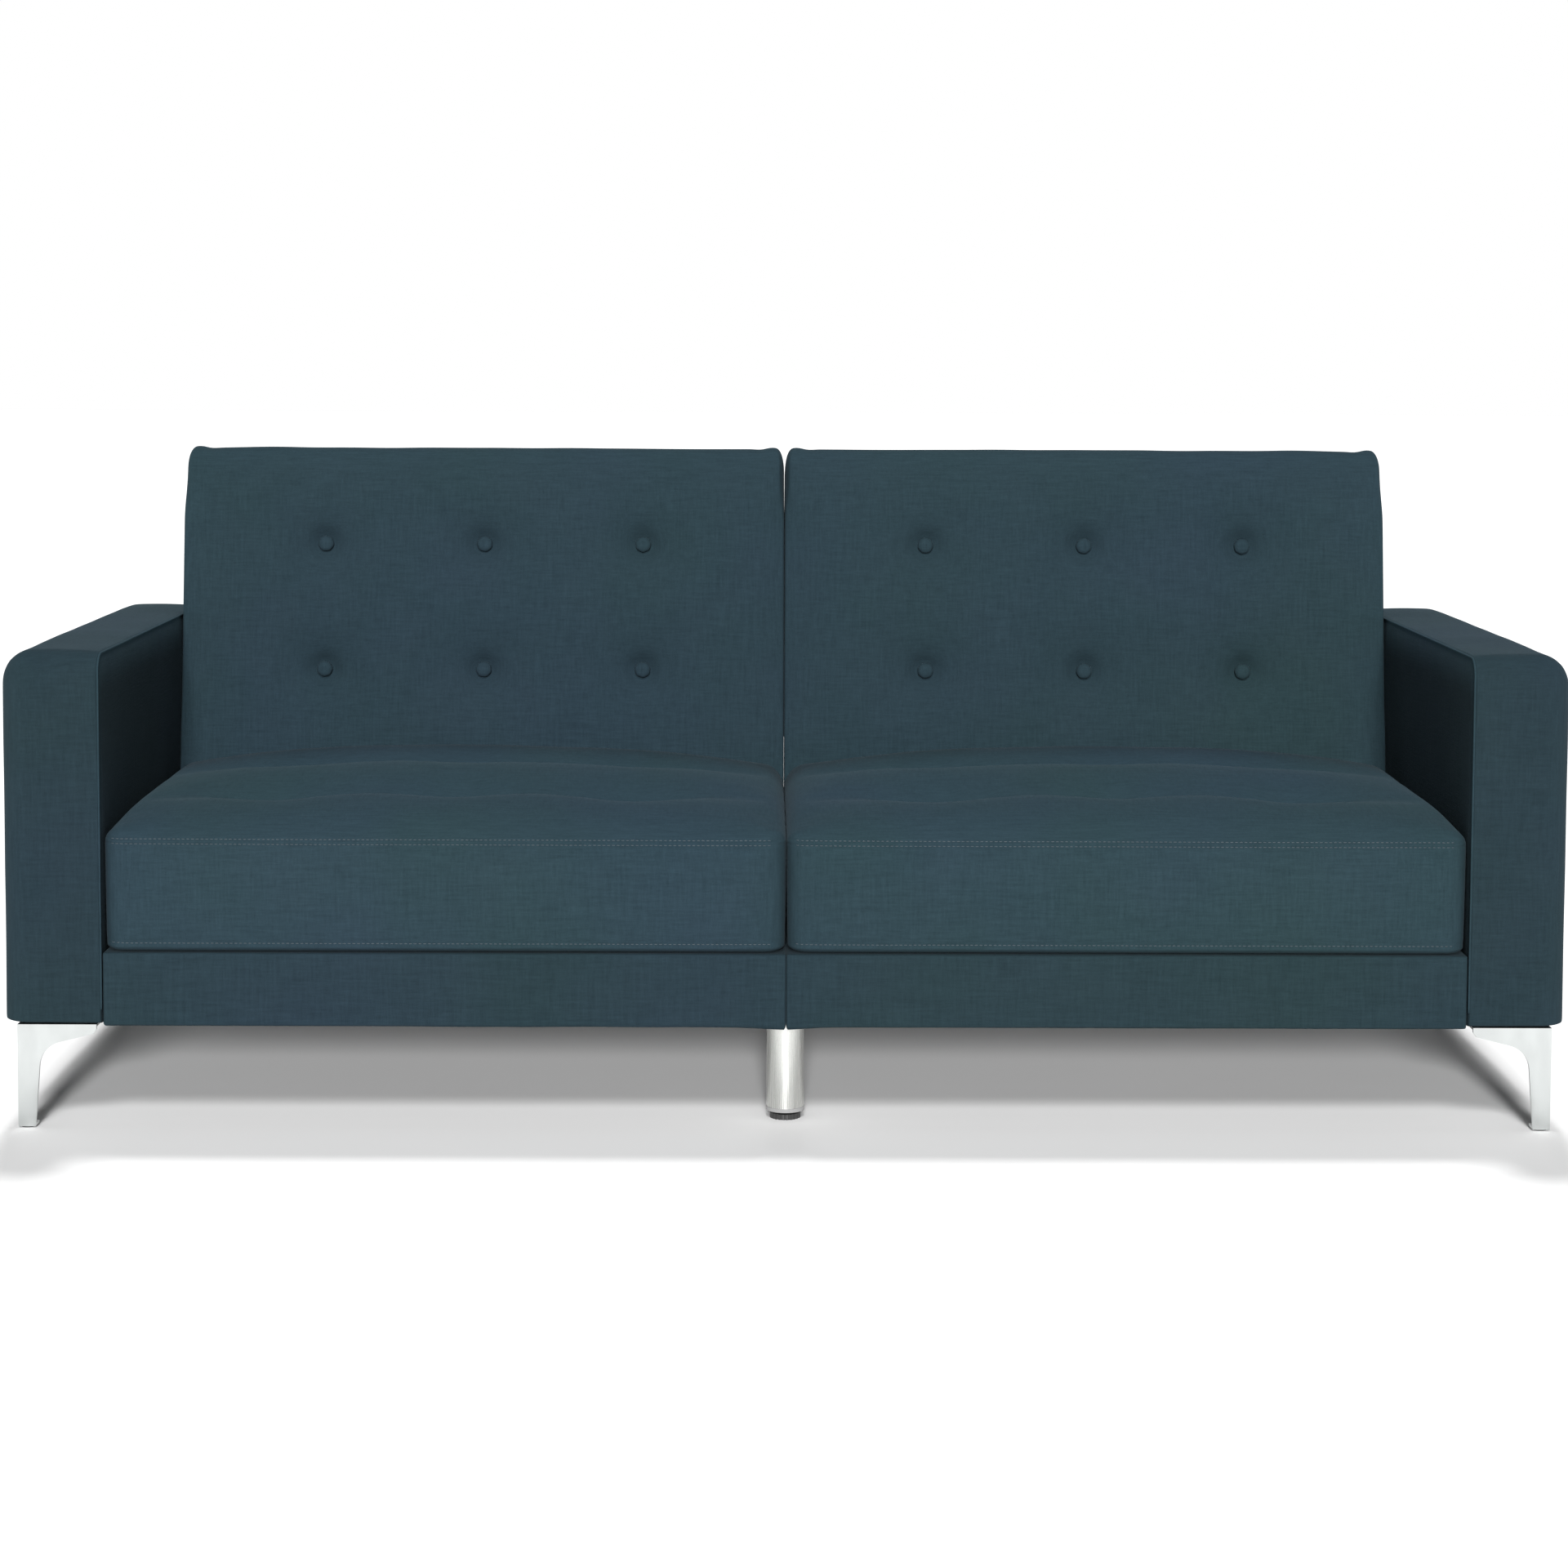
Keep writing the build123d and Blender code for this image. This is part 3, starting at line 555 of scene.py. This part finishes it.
def zinc_steel():
    """Zinc-plated steel with the faint spangle of pressed parts."""
    material, tree, shader = started("zinc_steel", Metallic=0.95)
    spangle = grain(tree, (240, 240, 240), 1.0)
    tree.links.new(spread(tree, spangle, 0.32, 0.48), shader.inputs["Roughness"])
    colour = tinted(tree, spangle, (0.42, 0.43, 0.44), (0.56, 0.57, 0.57))
    tree.links.new(colour, shader.inputs["Base Color"])
    bumped(tree, shader, grain(tree, (1500, 1500, 1500)), 0.08, 0.0001)
    return material


def timber():
    """Sawn pine: long grain with paler early wood."""
    material, tree, shader = started("timber", Roughness=0.7)
    rings = grain(tree, (5, 140, 140), 4.0)
    fibres = grain(tree, (30, 1400, 1400), 2.0)
    broad = maths(tree, "MULTIPLY", rings, 0.7)
    both = maths(tree, "ADD", broad, maths(tree, "MULTIPLY", fibres, 0.3))
    tree.links.new(
        tinted(tree, spread(tree, both, 0, 1), (0.47, 0.29, 0.14), (0.72, 0.52, 0.31)),
        shader.inputs["Base Color"],
    )
    bumped(tree, shader, both, 0.25, 0.0005)
    return material


def plywood():
    """Birch-faced board with a broad pale figure."""
    material, tree, shader = started("plywood", Roughness=0.62)
    figure = grain(tree, (3, 45, 45), 4.0)
    pores = grain(tree, (60, 1600, 1600), 1.0)
    broad = maths(tree, "MULTIPLY", figure, 0.8)
    both = maths(tree, "ADD", broad, maths(tree, "MULTIPLY", pores, 0.2))
    tree.links.new(
        tinted(tree, spread(tree, both, 0, 1), (0.55, 0.38, 0.22), (0.74, 0.58, 0.39)),
        shader.inputs["Base Color"],
    )
    bumped(tree, shader, pores, 0.15, 0.0003)
    return material


def foam():
    """Cut polyurethane foam with open cells."""
    material, tree, shader = started("foam", Roughness=0.95)
    cells = grain(tree, (900, 900, 900), 2.0)
    tree.links.new(
        tinted(tree, cells, (0.62, 0.55, 0.36), (0.84, 0.78, 0.58)), shader.inputs["Base Color"]
    )
    bumped(tree, shader, cells, 0.5, 0.0008)
    return material


def dust_cloth():
    """Black spun-bonded cloth with its pressed dot pattern."""
    material, tree, shader = started("dust_cloth", Roughness=0.9)
    dots = grain(tree, (420, 420, 420), 0.0)
    tree.links.new(
        tinted(tree, dots, (0.010, 0.010, 0.012), (0.035, 0.035, 0.040)),
        shader.inputs["Base Color"],
    )
    bumped(tree, shader, dots, 0.4, 0.0004)
    return material


def plastic(name, low, high):
    """Moulded plastic with a fine spark-eroded texture."""
    material, tree, shader = started(name, Roughness=0.5)
    texture = grain(tree, (1300, 1300, 1300), 2.0)
    cloud = grain(tree, (12, 12, 12), 2.0)
    tree.links.new(tinted(tree, cloud, (low,) * 3, (high,) * 3), shader.inputs["Base Color"])
    tree.links.new(spread(tree, cloud, 0.42, 0.58), shader.inputs["Roughness"])
    bumped(tree, shader, texture, 0.2, 0.0002)
    return material


MATERIALS = {
    "upholstery": upholstery("upholstery_back", 1.0),
    # One fabric in lit and shaded copies: the seat's is lighter as painted light, the arms' and apron's
    # darker as painted shade; the seat buttons and arm welts use the seat's copy.
    "seat": upholstery("upholstery_seat_painted_light", 1.10),
    "arm": upholstery("upholstery_arm_painted_shade", 0.80),
    "apron": upholstery("upholstery_apron_painted_shade", 0.88),
    "thread": thread(),
    "dust_cloth": dust_cloth(),
    "foam": foam(),
    "timber": timber(),
    "plywood": plywood(),
    "leg_chrome": chrome(),
    "tube_steel": tube_steel(),
    "zinc_steel": zinc_steel(),
    "grey_plastic": plastic("grey_plastic", 0.16, 0.20),
    "black_plastic": plastic("black_plastic", 0.012, 0.020),
}


def finish_nodes():
    """Gives every carried-over CAD node the material of its slot."""
    for node, slot in slots.items():
        made = frame_object(node)
        if not made.material_slots:
            made.data.materials.append(None)
        for place in made.material_slots:
            place.link = "OBJECT"
            place.material = MATERIALS[slot]


# ================================================================ soft pieces


def declared(piece, body, *nodes, fill=None):
    """Fixes a piece to its body and hides the CAD nodes it stands for."""
    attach(piece, body)
    if nodes:
        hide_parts(*nodes)


def seat_rise(x, y, u, v):
    """How far the seat's top face is raised: its crown and front slope, less its valleys and tufts."""
    sides = 1 - np.abs(u) ** 3
    rear = 0.22 + 0.78 * np.sin(math.pi / 2 * np.clip(v / 0.85, 0, 1)) - 0.35 * ramp(v, 0.88, 1)
    rise = SEAT_CROWN * sides * rear - SEAT_FRONT_FALL * (1 - ramp(v, -0.08, 0.36))
    for row in SEAT_BUTTON_ROWS:
        rise -= SEAT_VALLEY * bump(y - row, SEAT_VALLEY_WIDTH) * sides
        crease = SEAT_CREASE * bump(y - row, SEAT_CREASE_WIDTH)
        for column in BUTTON_COLUMNS:
            rise -= crease * bump(x - column, SEAT_CREASE_LENGTH)
    return rise - tuft_dip(x, y, SEAT_BUTTON_ROWS, SEAT_TUFT)


def seat_held(points, outward, w, centre, rear):
    """How firmly the cloth is held: fully at the deck, rear, ends and buttons, partly at the seams."""
    x, y, z = points.T
    up = np.clip(outward[:, 2], 0, 1)
    ahead = np.clip(-outward[:, 1], 0, 1)
    held = np.maximum(1 - ramp(w, 0.02, 0.12), 1 - ramp(np.abs(y - rear), 0.01, 0.04))
    held = np.maximum(held, near_buttons(x - centre, y, SEAT_BUTTON_ROWS, BUTTON_HOLD) * up)
    held = np.maximum(held, ahead * bump(z - SEAT_SEAM + SEAM_GAP / 2, 5 * MM))
    for row in SEAT_BUTTON_ROWS:
        held = np.maximum(held, up * 0.95 * bump(y - row, 16 * MM))
    return np.maximum(held, ramp(np.abs(outward[:, 0]), 0.3, 0.9)).clip(0, 1)


def seat_shape():
    """The left seat cushion before any swelling: its points, faces and how firmly each point is held."""
    low, high = (np.array(corner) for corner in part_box("left_seat_cover"))
    centre = -HALF_PITCH
    high = high - (0, 0, SEAT_DROP)
    seam = [SEAT_SEAM - SEAM_GAP + step * 3 * MM for step in range(-2, 5)]
    points, outward, faces = rounded_box(low, high, SEAT_ROUNDS, CUSHION_PITCH, ((), (), seam))
    u = (points[:, 0] - centre) / (high[0] - low[0]) * 2
    v = (points[:, 1] - low[1]) / (high[1] - low[1])
    w = (points[:, 2] - low[2]) / (high[2] - low[2])
    up = np.clip(outward[:, 2], 0, 1)
    ahead = np.clip(-outward[:, 1], 0, 1)
    rise = seat_rise(points[:, 0] - centre, points[:, 1], u, v)
    points[:, 2] += up * (rise + uneven(points, 0.16, 3 * MM, 1) * (1 - np.abs(u) ** 3))
    bulge = SEAT_BULGE * (1 - np.abs(2 * w - 0.9) ** 2.5).clip(-0.5, 1) * (1 - np.abs(u) ** 6)
    points[:, 1] -= ahead * (bulge + uneven(points, 0.11, 1.2 * MM, 2))
    pulled = 1.5 * MM * (1 - w).clip(0, 1) ** 2 - END_SWELL
    points[:, 0] -= np.sign(u) * np.abs(outward[:, 0]) * pulled
    return points, faces, seat_held(points, outward, w, centre, high[1])


def sewn_grooves(piece, side):
    """Presses the seams of a seat cushion into its surface, with small puckers beside them."""
    points = read_points(piece.data)
    normals = read_normals(piece.data)
    ahead = np.clip(-normals[:, 1], 0, 1)
    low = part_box(f"{side}_seat_cover")[0]
    press = np.zeros(len(points))
    for height in (SEAT_SEAM, SEAT_SEAM - SEAM_GAP):
        press += 1.0 * MM * bump(points[:, 2] - height, 1.9 * MM)
    pucker = 1 + 0.5 * uneven(points * (1, 0.2, 0.2), 0.012, 1, 5)
    press += 1.2 * MM * bump(points[:, 2] - low[2] - ROLL_SEAM, 2.6 * MM)
    points -= normals * (press * ahead * pucker)[:, None]
    write_points(piece.data, points)


def settled(piece):
    """Gives one cushion of a pair its own small unevenness, so that the two aren't exact mirrors."""
    points = read_points(piece.data)
    up = np.clip(read_normals(piece.data)[:, 2], 0, 1)
    points[:, 2] += uneven(points, 0.2, 2.5 * MM, 9) * up
    write_points(piece.data, points)


def seat_cushions():
    """Both seat cushions, the right one mirrored from the left, with their sewing and buttons."""
    points, faces, held = seat_shape()
    left = new_piece("left_seat_cushion", points, faces, MATERIALS["seat"])
    puffed(left, held, SEAT_CAP)
    right = mirrored(left, "right_seat_cushion")
    settled(right)
    for side, piece in {"left": left, "right": right}.items():
        subdivided(piece)
        sewn_grooves(piece, side)
        declared(piece, "root", f"{side}_seat_cover", f"{side}_seat_foam", fill=0.85)
        seat_sewing(piece, side)
        seat_buttons(side)


def seat_sewing(piece, side):
    """The twin seams along a seat's front and the one above its lower roll."""
    tree = tree_of(piece)
    low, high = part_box(f"{side}_seat_cover")
    runs = []
    heights = (SEAT_SEAM, SEAT_SEAM - SEAM_GAP, low[2] + ROLL_SEAM)
    for height in heights:
        xs = np.arange(low[0] + 12 * MM, high[0] - 12 * MM, 6 * MM)
        starts = [(x, low[1] - 0.1, height) for x in xs]
        runs.append(along_surface(tree, starts, (0, 1, 0)))
    sewing = stitches(f"{side}_seat_sewing", runs, MATERIALS["thread"])
    declared(sewing, "root")


def covered_button(places, name, material, place=None):
    """Fabric-covered buttons with gathered rims, in one piece."""
    crown = ((0.0, 6.2), (3.5, 6.1), (6.8, 5.5), (9.3, 4.3), (10.9, 2.5))
    rim = ((11.4, 0.6), (10.6, -1.4), (8.0, -2.6))
    profile = crown + rim
    sides = 28
    points, faces = [], []
    for number, (centre, across, other, out) in enumerate(places):
        base = len(points)
        points.append(centre + out * profile[0][1] * MM)
        for radius, height in profile[1:]:
            for turn in range(sides):
                angle = 2 * math.pi * turn / sides
                gather = 1 + 0.022 * math.cos(7 * angle + number) * ramp(radius, 7, 11)
                size = radius * gather * MM
                offset = across * math.cos(angle) * size + other * math.sin(angle) * size
                points.append(centre + offset + out * height * MM)
        for turn in range(sides):
            faces.append([base, base + 1 + turn, base + 1 + (turn + 1) % sides])
        for ring in range(len(profile) - 2):
            start = base + 1 + ring * sides
            for turn in range(sides):
                a, b = start + turn, start + (turn + 1) % sides
                faces.append([a, a + sides, b + sides, b])
        end = len(points) - sides
        faces.append([end + turn for turn in range(sides)][::-1])
    return new_piece(name, points, faces, material, place)


def seat_buttons(side):
    """The six buttons in a seat's tufts."""
    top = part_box(f"{side}_seat_cover")[1][2] - BUTTON_SINK
    centre = SIDES[side] * HALF_PITCH
    places = [
        (Vector((centre + x, y, top)), Vector((1, 0, 0)), Vector((0, 1, 0)), Vector((0, 0, 1)))
        for x in BUTTON_COLUMNS
        for y in SEAT_BUTTON_ROWS
    ]
    piece = covered_button(places, f"{side}_seat_tuft_buttons", MATERIALS["seat"])
    declared(piece, "root", f"{side}_seat_buttons")


def back_shape():
    """The left backrest cushion in its leaning frame: its points, faces and how firmly each is held."""
    low, high = local_box("left_back_cover", BACK_PLACE)
    centre = -HALF_PITCH
    pocket_x = (centre - POCKET_HALF, centre + POCKET_HALF)
    depths = [low[1] + step * MM for step in (1.5, 4, 7)]
    depths += [POCKET_FRONT - step * MM for step in (0, 1.5, 4)]
    depths += [high[1] - step * MM for step in (1.5, 4)]
    heights = [low[2] + step * MM for step in (1.5, 4)] + [POCKET_TOP, POCKET_TOP + 4 * MM]
    extra = (pocket_x, depths, heights)

    def front_round(points, near, far):
        roll = ramp(points[:, 2], high[2] - 0.11, high[2] - 0.035)
        near[:, 1] = BACK_EDGE_ROUND + (near[:, 1] - BACK_EDGE_ROUND) * roll
        by_pocket = 1 - ramp(points[:, 2], POCKET_TOP + 0.01, POCKET_TOP + 0.06)
        near[:, 1] += (BACK_LOW_ROUND - near[:, 1]) * by_pocket
        near[:, 0] += (BACK_LOW_ROUND - near[:, 0]) * by_pocket
        far[:, 0] += (BACK_LOW_ROUND - far[:, 0]) * by_pocket
        rear = ramp(points[:, 1], 0.0, 0.05)
        near[:, 2] += (BACK_EDGE_ROUND - near[:, 2]) * rear
        far[:, 1] += (BACK_EDGE_ROUND - far[:, 1]) * (1 - roll)

    points, outward, faces = rounded_box(low, high, BACK_ROUNDS, CUSHION_PITCH, extra, front_round)
    x = points[:, 0] - centre
    half = (high[0] - low[0]) / 2
    edge = half - np.abs(x)
    u = x / half
    w = (points[:, 2] - low[2]) / (high[2] - low[2])
    ahead = np.clip(-outward[:, 1], 0, 1)
    up = np.clip(outward[:, 2], 0, 1)
    crown = BACK_CROWN * (1 - np.abs(u) ** 5) * (1 - np.abs(2 * w - 1) ** 3)
    crown -= BACK_ROLL * ramp(points[:, 2], high[2] - 0.075, high[2] - 0.01)
    crown -= tuft_dip(x, points[:, 2], BACK_BUTTON_ROWS, BACK_TUFT).clip(0, BACK_TUFT_FLOOR)
    crown += uneven(points, 0.14, 2 * MM, 3)
    points[:, 1] -= ahead * crown
    ears = 2.6 * MM * bump(edge - EAR_CENTRE, 10 * MM) - 2.0 * MM * bump(edge - NOTCH_CENTRE, 5 * MM)
    points[:, 2] += up * (ears + uneven(points, 0.09, 1.5 * MM, 4) - 1.0 * MM)
    level = 0.5 * MM * w.clip(0, 1) ** 4 - END_SWELL
    points[:, 0] -= np.sign(u) * np.abs(outward[:, 0]) * level
    pocket = (points[:, 1] > POCKET_FRONT - 1 * MM) & (points[:, 2] < POCKET_TOP + 1 * MM)
    limit = np.where(pocket, POCKET_HALF, half + END_SWELL)
    # Points past a limit gather at it, still a hair apart, because cloth needs edges with a length.
    reach = np.abs(points[:, 0] - centre)
    gathered = np.minimum(reach, limit) + 0.01 * np.maximum(reach - limit, 0)
    points[:, 0] = centre + np.sign(x) * gathered
    free = ramp(ahead, 0.3, 0.9) * ramp(w, 0.02, 0.12)
    held = 1 - free * (1 - near_buttons(x, points[:, 2], BACK_BUTTON_ROWS, BUTTON_HOLD))
    return points, faces, held


def back_cushions():
    """Both backrest cushions, the right one mirrored from the left."""
    points, faces, held = back_shape()
    left = new_piece("left_back_cushion", points, faces, MATERIALS["upholstery"], BACK_PLACE)
    puffed(left, held, BACK_CAP)
    right = mirrored(left, "right_back_cushion")
    for side, piece in {"left": left, "right": right}.items():
        subdivided(piece)
        body = f"{side}_backrest"
        declared(piece, body, f"{side}_back_cover", f"{side}_back_foam", fill=0.85)
        back_buttons(side)


def back_buttons(side):
    """The six buttons on a backrest."""
    low = local_box(f"{side}_back_cover", BACK_PLACE)[0]
    centre = SIDES[side] * HALF_PITCH
    depth = low[1] + BUTTON_SINK
    places = [
        (Vector((centre + x, depth, z)), Vector((1, 0, 0)), Vector((0, 0, 1)), Vector((0, -1, 0)))
        for x in BUTTON_COLUMNS
        for z in BACK_BUTTON_ROWS
    ]
    name = f"{side}_back_tuft_buttons"
    piece = covered_button(places, name, MATERIALS["upholstery"], BACK_PLACE)
    declared(piece, f"{side}_backrest", f"{side}_back_buttons")


def arm_shape():
    """The right arm: points and faces."""
    low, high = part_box("right_arm_cover")


    def top_round(points, near, far):
        outer = ramp(points[:, 0], low[0] + 0.02, low[0] + 0.08)
        far[:, 2] = ARM_INNER_ROUND + (far[:, 2] - ARM_INNER_ROUND) * outer
        near[:, 1] = ARM_INNER_ROUND + (near[:, 1] - ARM_INNER_ROUND) * outer

    extra = ((), (), [high[2] - step * MM for step in (3, 7)])
    points, outward, faces = rounded_box(low, high, ARM_ROUNDS, 12 * MM, extra, top_round)
    u = (points[:, 0] - low[0]) / (high[0] - low[0])
    v = (points[:, 1] - low[1]) / (high[1] - low[1])
    w = (points[:, 2] - low[2]) / (high[2] - low[2])
    across = 4 * u * (1 - u)
    up = np.clip(outward[:, 2], 0, 1)
    points[:, 2] += up * (ARM_CROWN * across + uneven(points, 0.12, 1.6 * MM, 6))
    ahead = np.clip(-outward[:, 1], 0, 1)
    points[:, 1] -= ahead * (2 * MM * across * ramp(w, 0, 0.3) + uneven(points, 0.1, 1.5 * MM, 7))
    outside = np.clip(outward[:, 0], 0, 1)
    swell = 2.5 * MM * np.sin(math.pi * v.clip(0, 1)) * np.sin(math.pi * w.clip(0, 1)) - 1 * MM
    points[:, 0] += outside * (swell + uneven(points, 0.15, 1.5 * MM, 8))
    return points, faces


def arms():
    """Both arms with the welt along their inner edges."""
    points, faces = arm_shape()
    for side, sign in SIDES.items():
        if sign > 0:
            piece = new_piece("right_arm_upholstery", points, faces, MATERIALS["arm"])
        else:
            turned = [face[::-1] for face in faces]
            mirrored_points = points * (-1, 1, 1)
            piece = new_piece("left_arm_upholstery", mirrored_points, turned, MATERIALS["arm"])
        subdivided(piece)
        declared(piece, "root", f"{side}_arm_cover", f"{side}_arm_padding", fill=0.95)
        arm_welt(piece, side, sign)


def arm_welt(piece, side, sign):
    """Piping along the inner top edge and down the inner front edge of an arm."""
    tree = tree_of(piece)
    low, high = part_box(f"{side}_arm_cover")
    inner = low[0] if sign > 0 else high[0]
    corner = ARM_INNER_ROUND
    starts = []
    for y in np.arange(high[1] - 0.04, low[1] + corner, -0.01):
        starts.append((y, high[2], 0))
    for step in range(13):
        angle = math.pi / 2 * step / 12
        y = low[1] + corner * (1 - math.sin(angle))
        z = high[2] - corner * (1 - math.cos(angle))
        starts.append((y, z, angle))
    for z in np.arange(high[2] - corner - 0.01, low[2] + 0.012, -0.01):
        starts.append((low[1], z, math.pi / 2))
    path = []
    for y, z, angle in starts:
        out = Vector((-sign, -math.sin(angle), math.cos(angle))).normalized()
        hit = tree.ray_cast(Vector((inner, y, z)) + out * 0.05, -out)[0]
        if hit is not None:
            path.append(hit + out * 0.4 * MM)
    welt = tube(f"{side}_arm_welt", path, WELT_RADIUS, MATERIALS["seat"])
    declared(welt, "root")


def bases():
    """The upholstered boxes under the seats, open underneath round the dust cover."""
    for side, sign in SIDES.items():
        low, high = (np.array(corner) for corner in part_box(f"{side}_base_cover"))
        low, high = low - (0, 0, 1.5 * MM), high + (0, 0, 1.2 * MM)
        rounds = ((3, 4, 4), (3, 4, 3))
        points, outward, faces = rounded_box(low, high, rounds, 15 * MM)
        ahead = np.clip(-outward[:, 1], 0, 1)
        points[:, 1] -= ahead * uneven(points, 0.12, 1.2 * MM, 10 + sign)
        droop = 3 * MM * bump(np.abs(points[:, 0]), 0.035)
        droop += uneven(points, 0.1, 1.2 * MM, 12).clip(0)
        rim = np.minimum(points - low, high - points)[:, :2].min(axis=1)
        under = np.clip(-outward[:, 2], 0, 1)
        points[:, 2] -= under * droop * (rim < 14 * MM)
        points[:, 2] += under * 4 * MM * (rim >= 14 * MM)
        piece = new_piece(f"{side}_base_apron", points, faces, MATERIALS["apron"])
        subdivided(piece)
        declared(piece, "root", f"{side}_base_cover")


# ================================================================ light and camera


def sun(name, azimuth, elevation, strength, softness, shiny=True):
    """A soft distant light; azimuth 0 comes from the front and 90 from the right."""
    light = bpy.data.lights.new(name, "SUN")
    light.energy = strength
    light.angle = math.radians(softness)
    made = bpy.data.objects.new(name, light)
    scene.collection.objects.link(made)
    made.visible_glossy = shiny
    turn, rise = math.radians(azimuth), math.radians(elevation)
    source = Vector((
        math.sin(turn) * math.cos(rise), -math.cos(turn) * math.cos(rise), math.sin(rise)
    ))
    made.rotation_euler = source.to_track_quat("Z", "Y").to_euler()


def studio():
    """A pale floor, pale surroundings and soft light from the front, above and behind."""
    world = bpy.data.worlds.new("studio")
    scene.world = world
    world.use_nodes = True
    tree = world.node_tree
    ray = add(tree, "ShaderNodeLightPath")
    seen = maths(tree, "MULTIPLY", ray.outputs["Is Camera Ray"], 0.92)
    shiny = maths(tree, "MULTIPLY", ray.outputs["Is Glossy Ray"], 0.35)
    strength = maths(tree, "ADD", maths(tree, "ADD", seen, shiny), 0.08)
    background = tree.nodes["Background"]
    background.inputs["Color"].default_value = (1.0, 1.0, 1.0, 1)
    tree.links.new(strength, background.inputs["Strength"])
    sun("low_key", 0, 14, 4.9, 8)
    sun("high_key", 0, 42, 2.2, 14)
    sun("top", 180, 66, 3.0, 10, shiny=False)
    sun("rear_fill", 180, 6, 1.9, 6, shiny=False)
    sun("left_fill", -90, 1, 1.9, 1.5, shiny=False)
    sun("right_fill", 90, 1, 1.9, 1.5, shiny=False)
    floor_material, floor_tree, shader = started("floor", Roughness=0.9, Specular_IOR_Level=0.1)
    colour = tinted(floor_tree, grain(floor_tree, (3, 3, 3)), (0.68, 0.68, 0.68), (0.70, 0.70, 0.70))
    floor_tree.links.new(colour, shader.inputs["Base Color"])
    reach = 40.0
    corners = [(-reach, -reach, 0), (reach, -reach, 0), (reach, reach, 0), (-reach, reach, 0)]
    floor = new_piece("floor", corners, [[0, 1, 2, 3]], floor_material)


def camera():
    """The photographer's camera: nearly level, a little above the back's top, slightly to the left."""
    data = bpy.data.cameras.new("camera")
    data.sensor_width = 36.0
    data.lens = 74.55
    data.shift_y = -0.1208
    made = bpy.data.objects.new("camera", data)
    made.location = (-0.0337, -4.480, 1.0078)
    yaw, pitch, roll = -0.0071, 0.0783, 0.0041
    made.rotation_euler = (
        Matrix.Rotation(yaw, 3, "Z")
        @ Matrix.Rotation(math.pi / 2 - pitch, 3, "X")
        @ Matrix.Rotation(roll, 3, "Z")
    ).to_euler()
    scene.collection.objects.link(made)
    scene.camera = made
    scene.view_settings.view_transform = "Standard"


finish_nodes()
seat_cushions()
back_cushions()
arms()
bases()
studio()
camera()
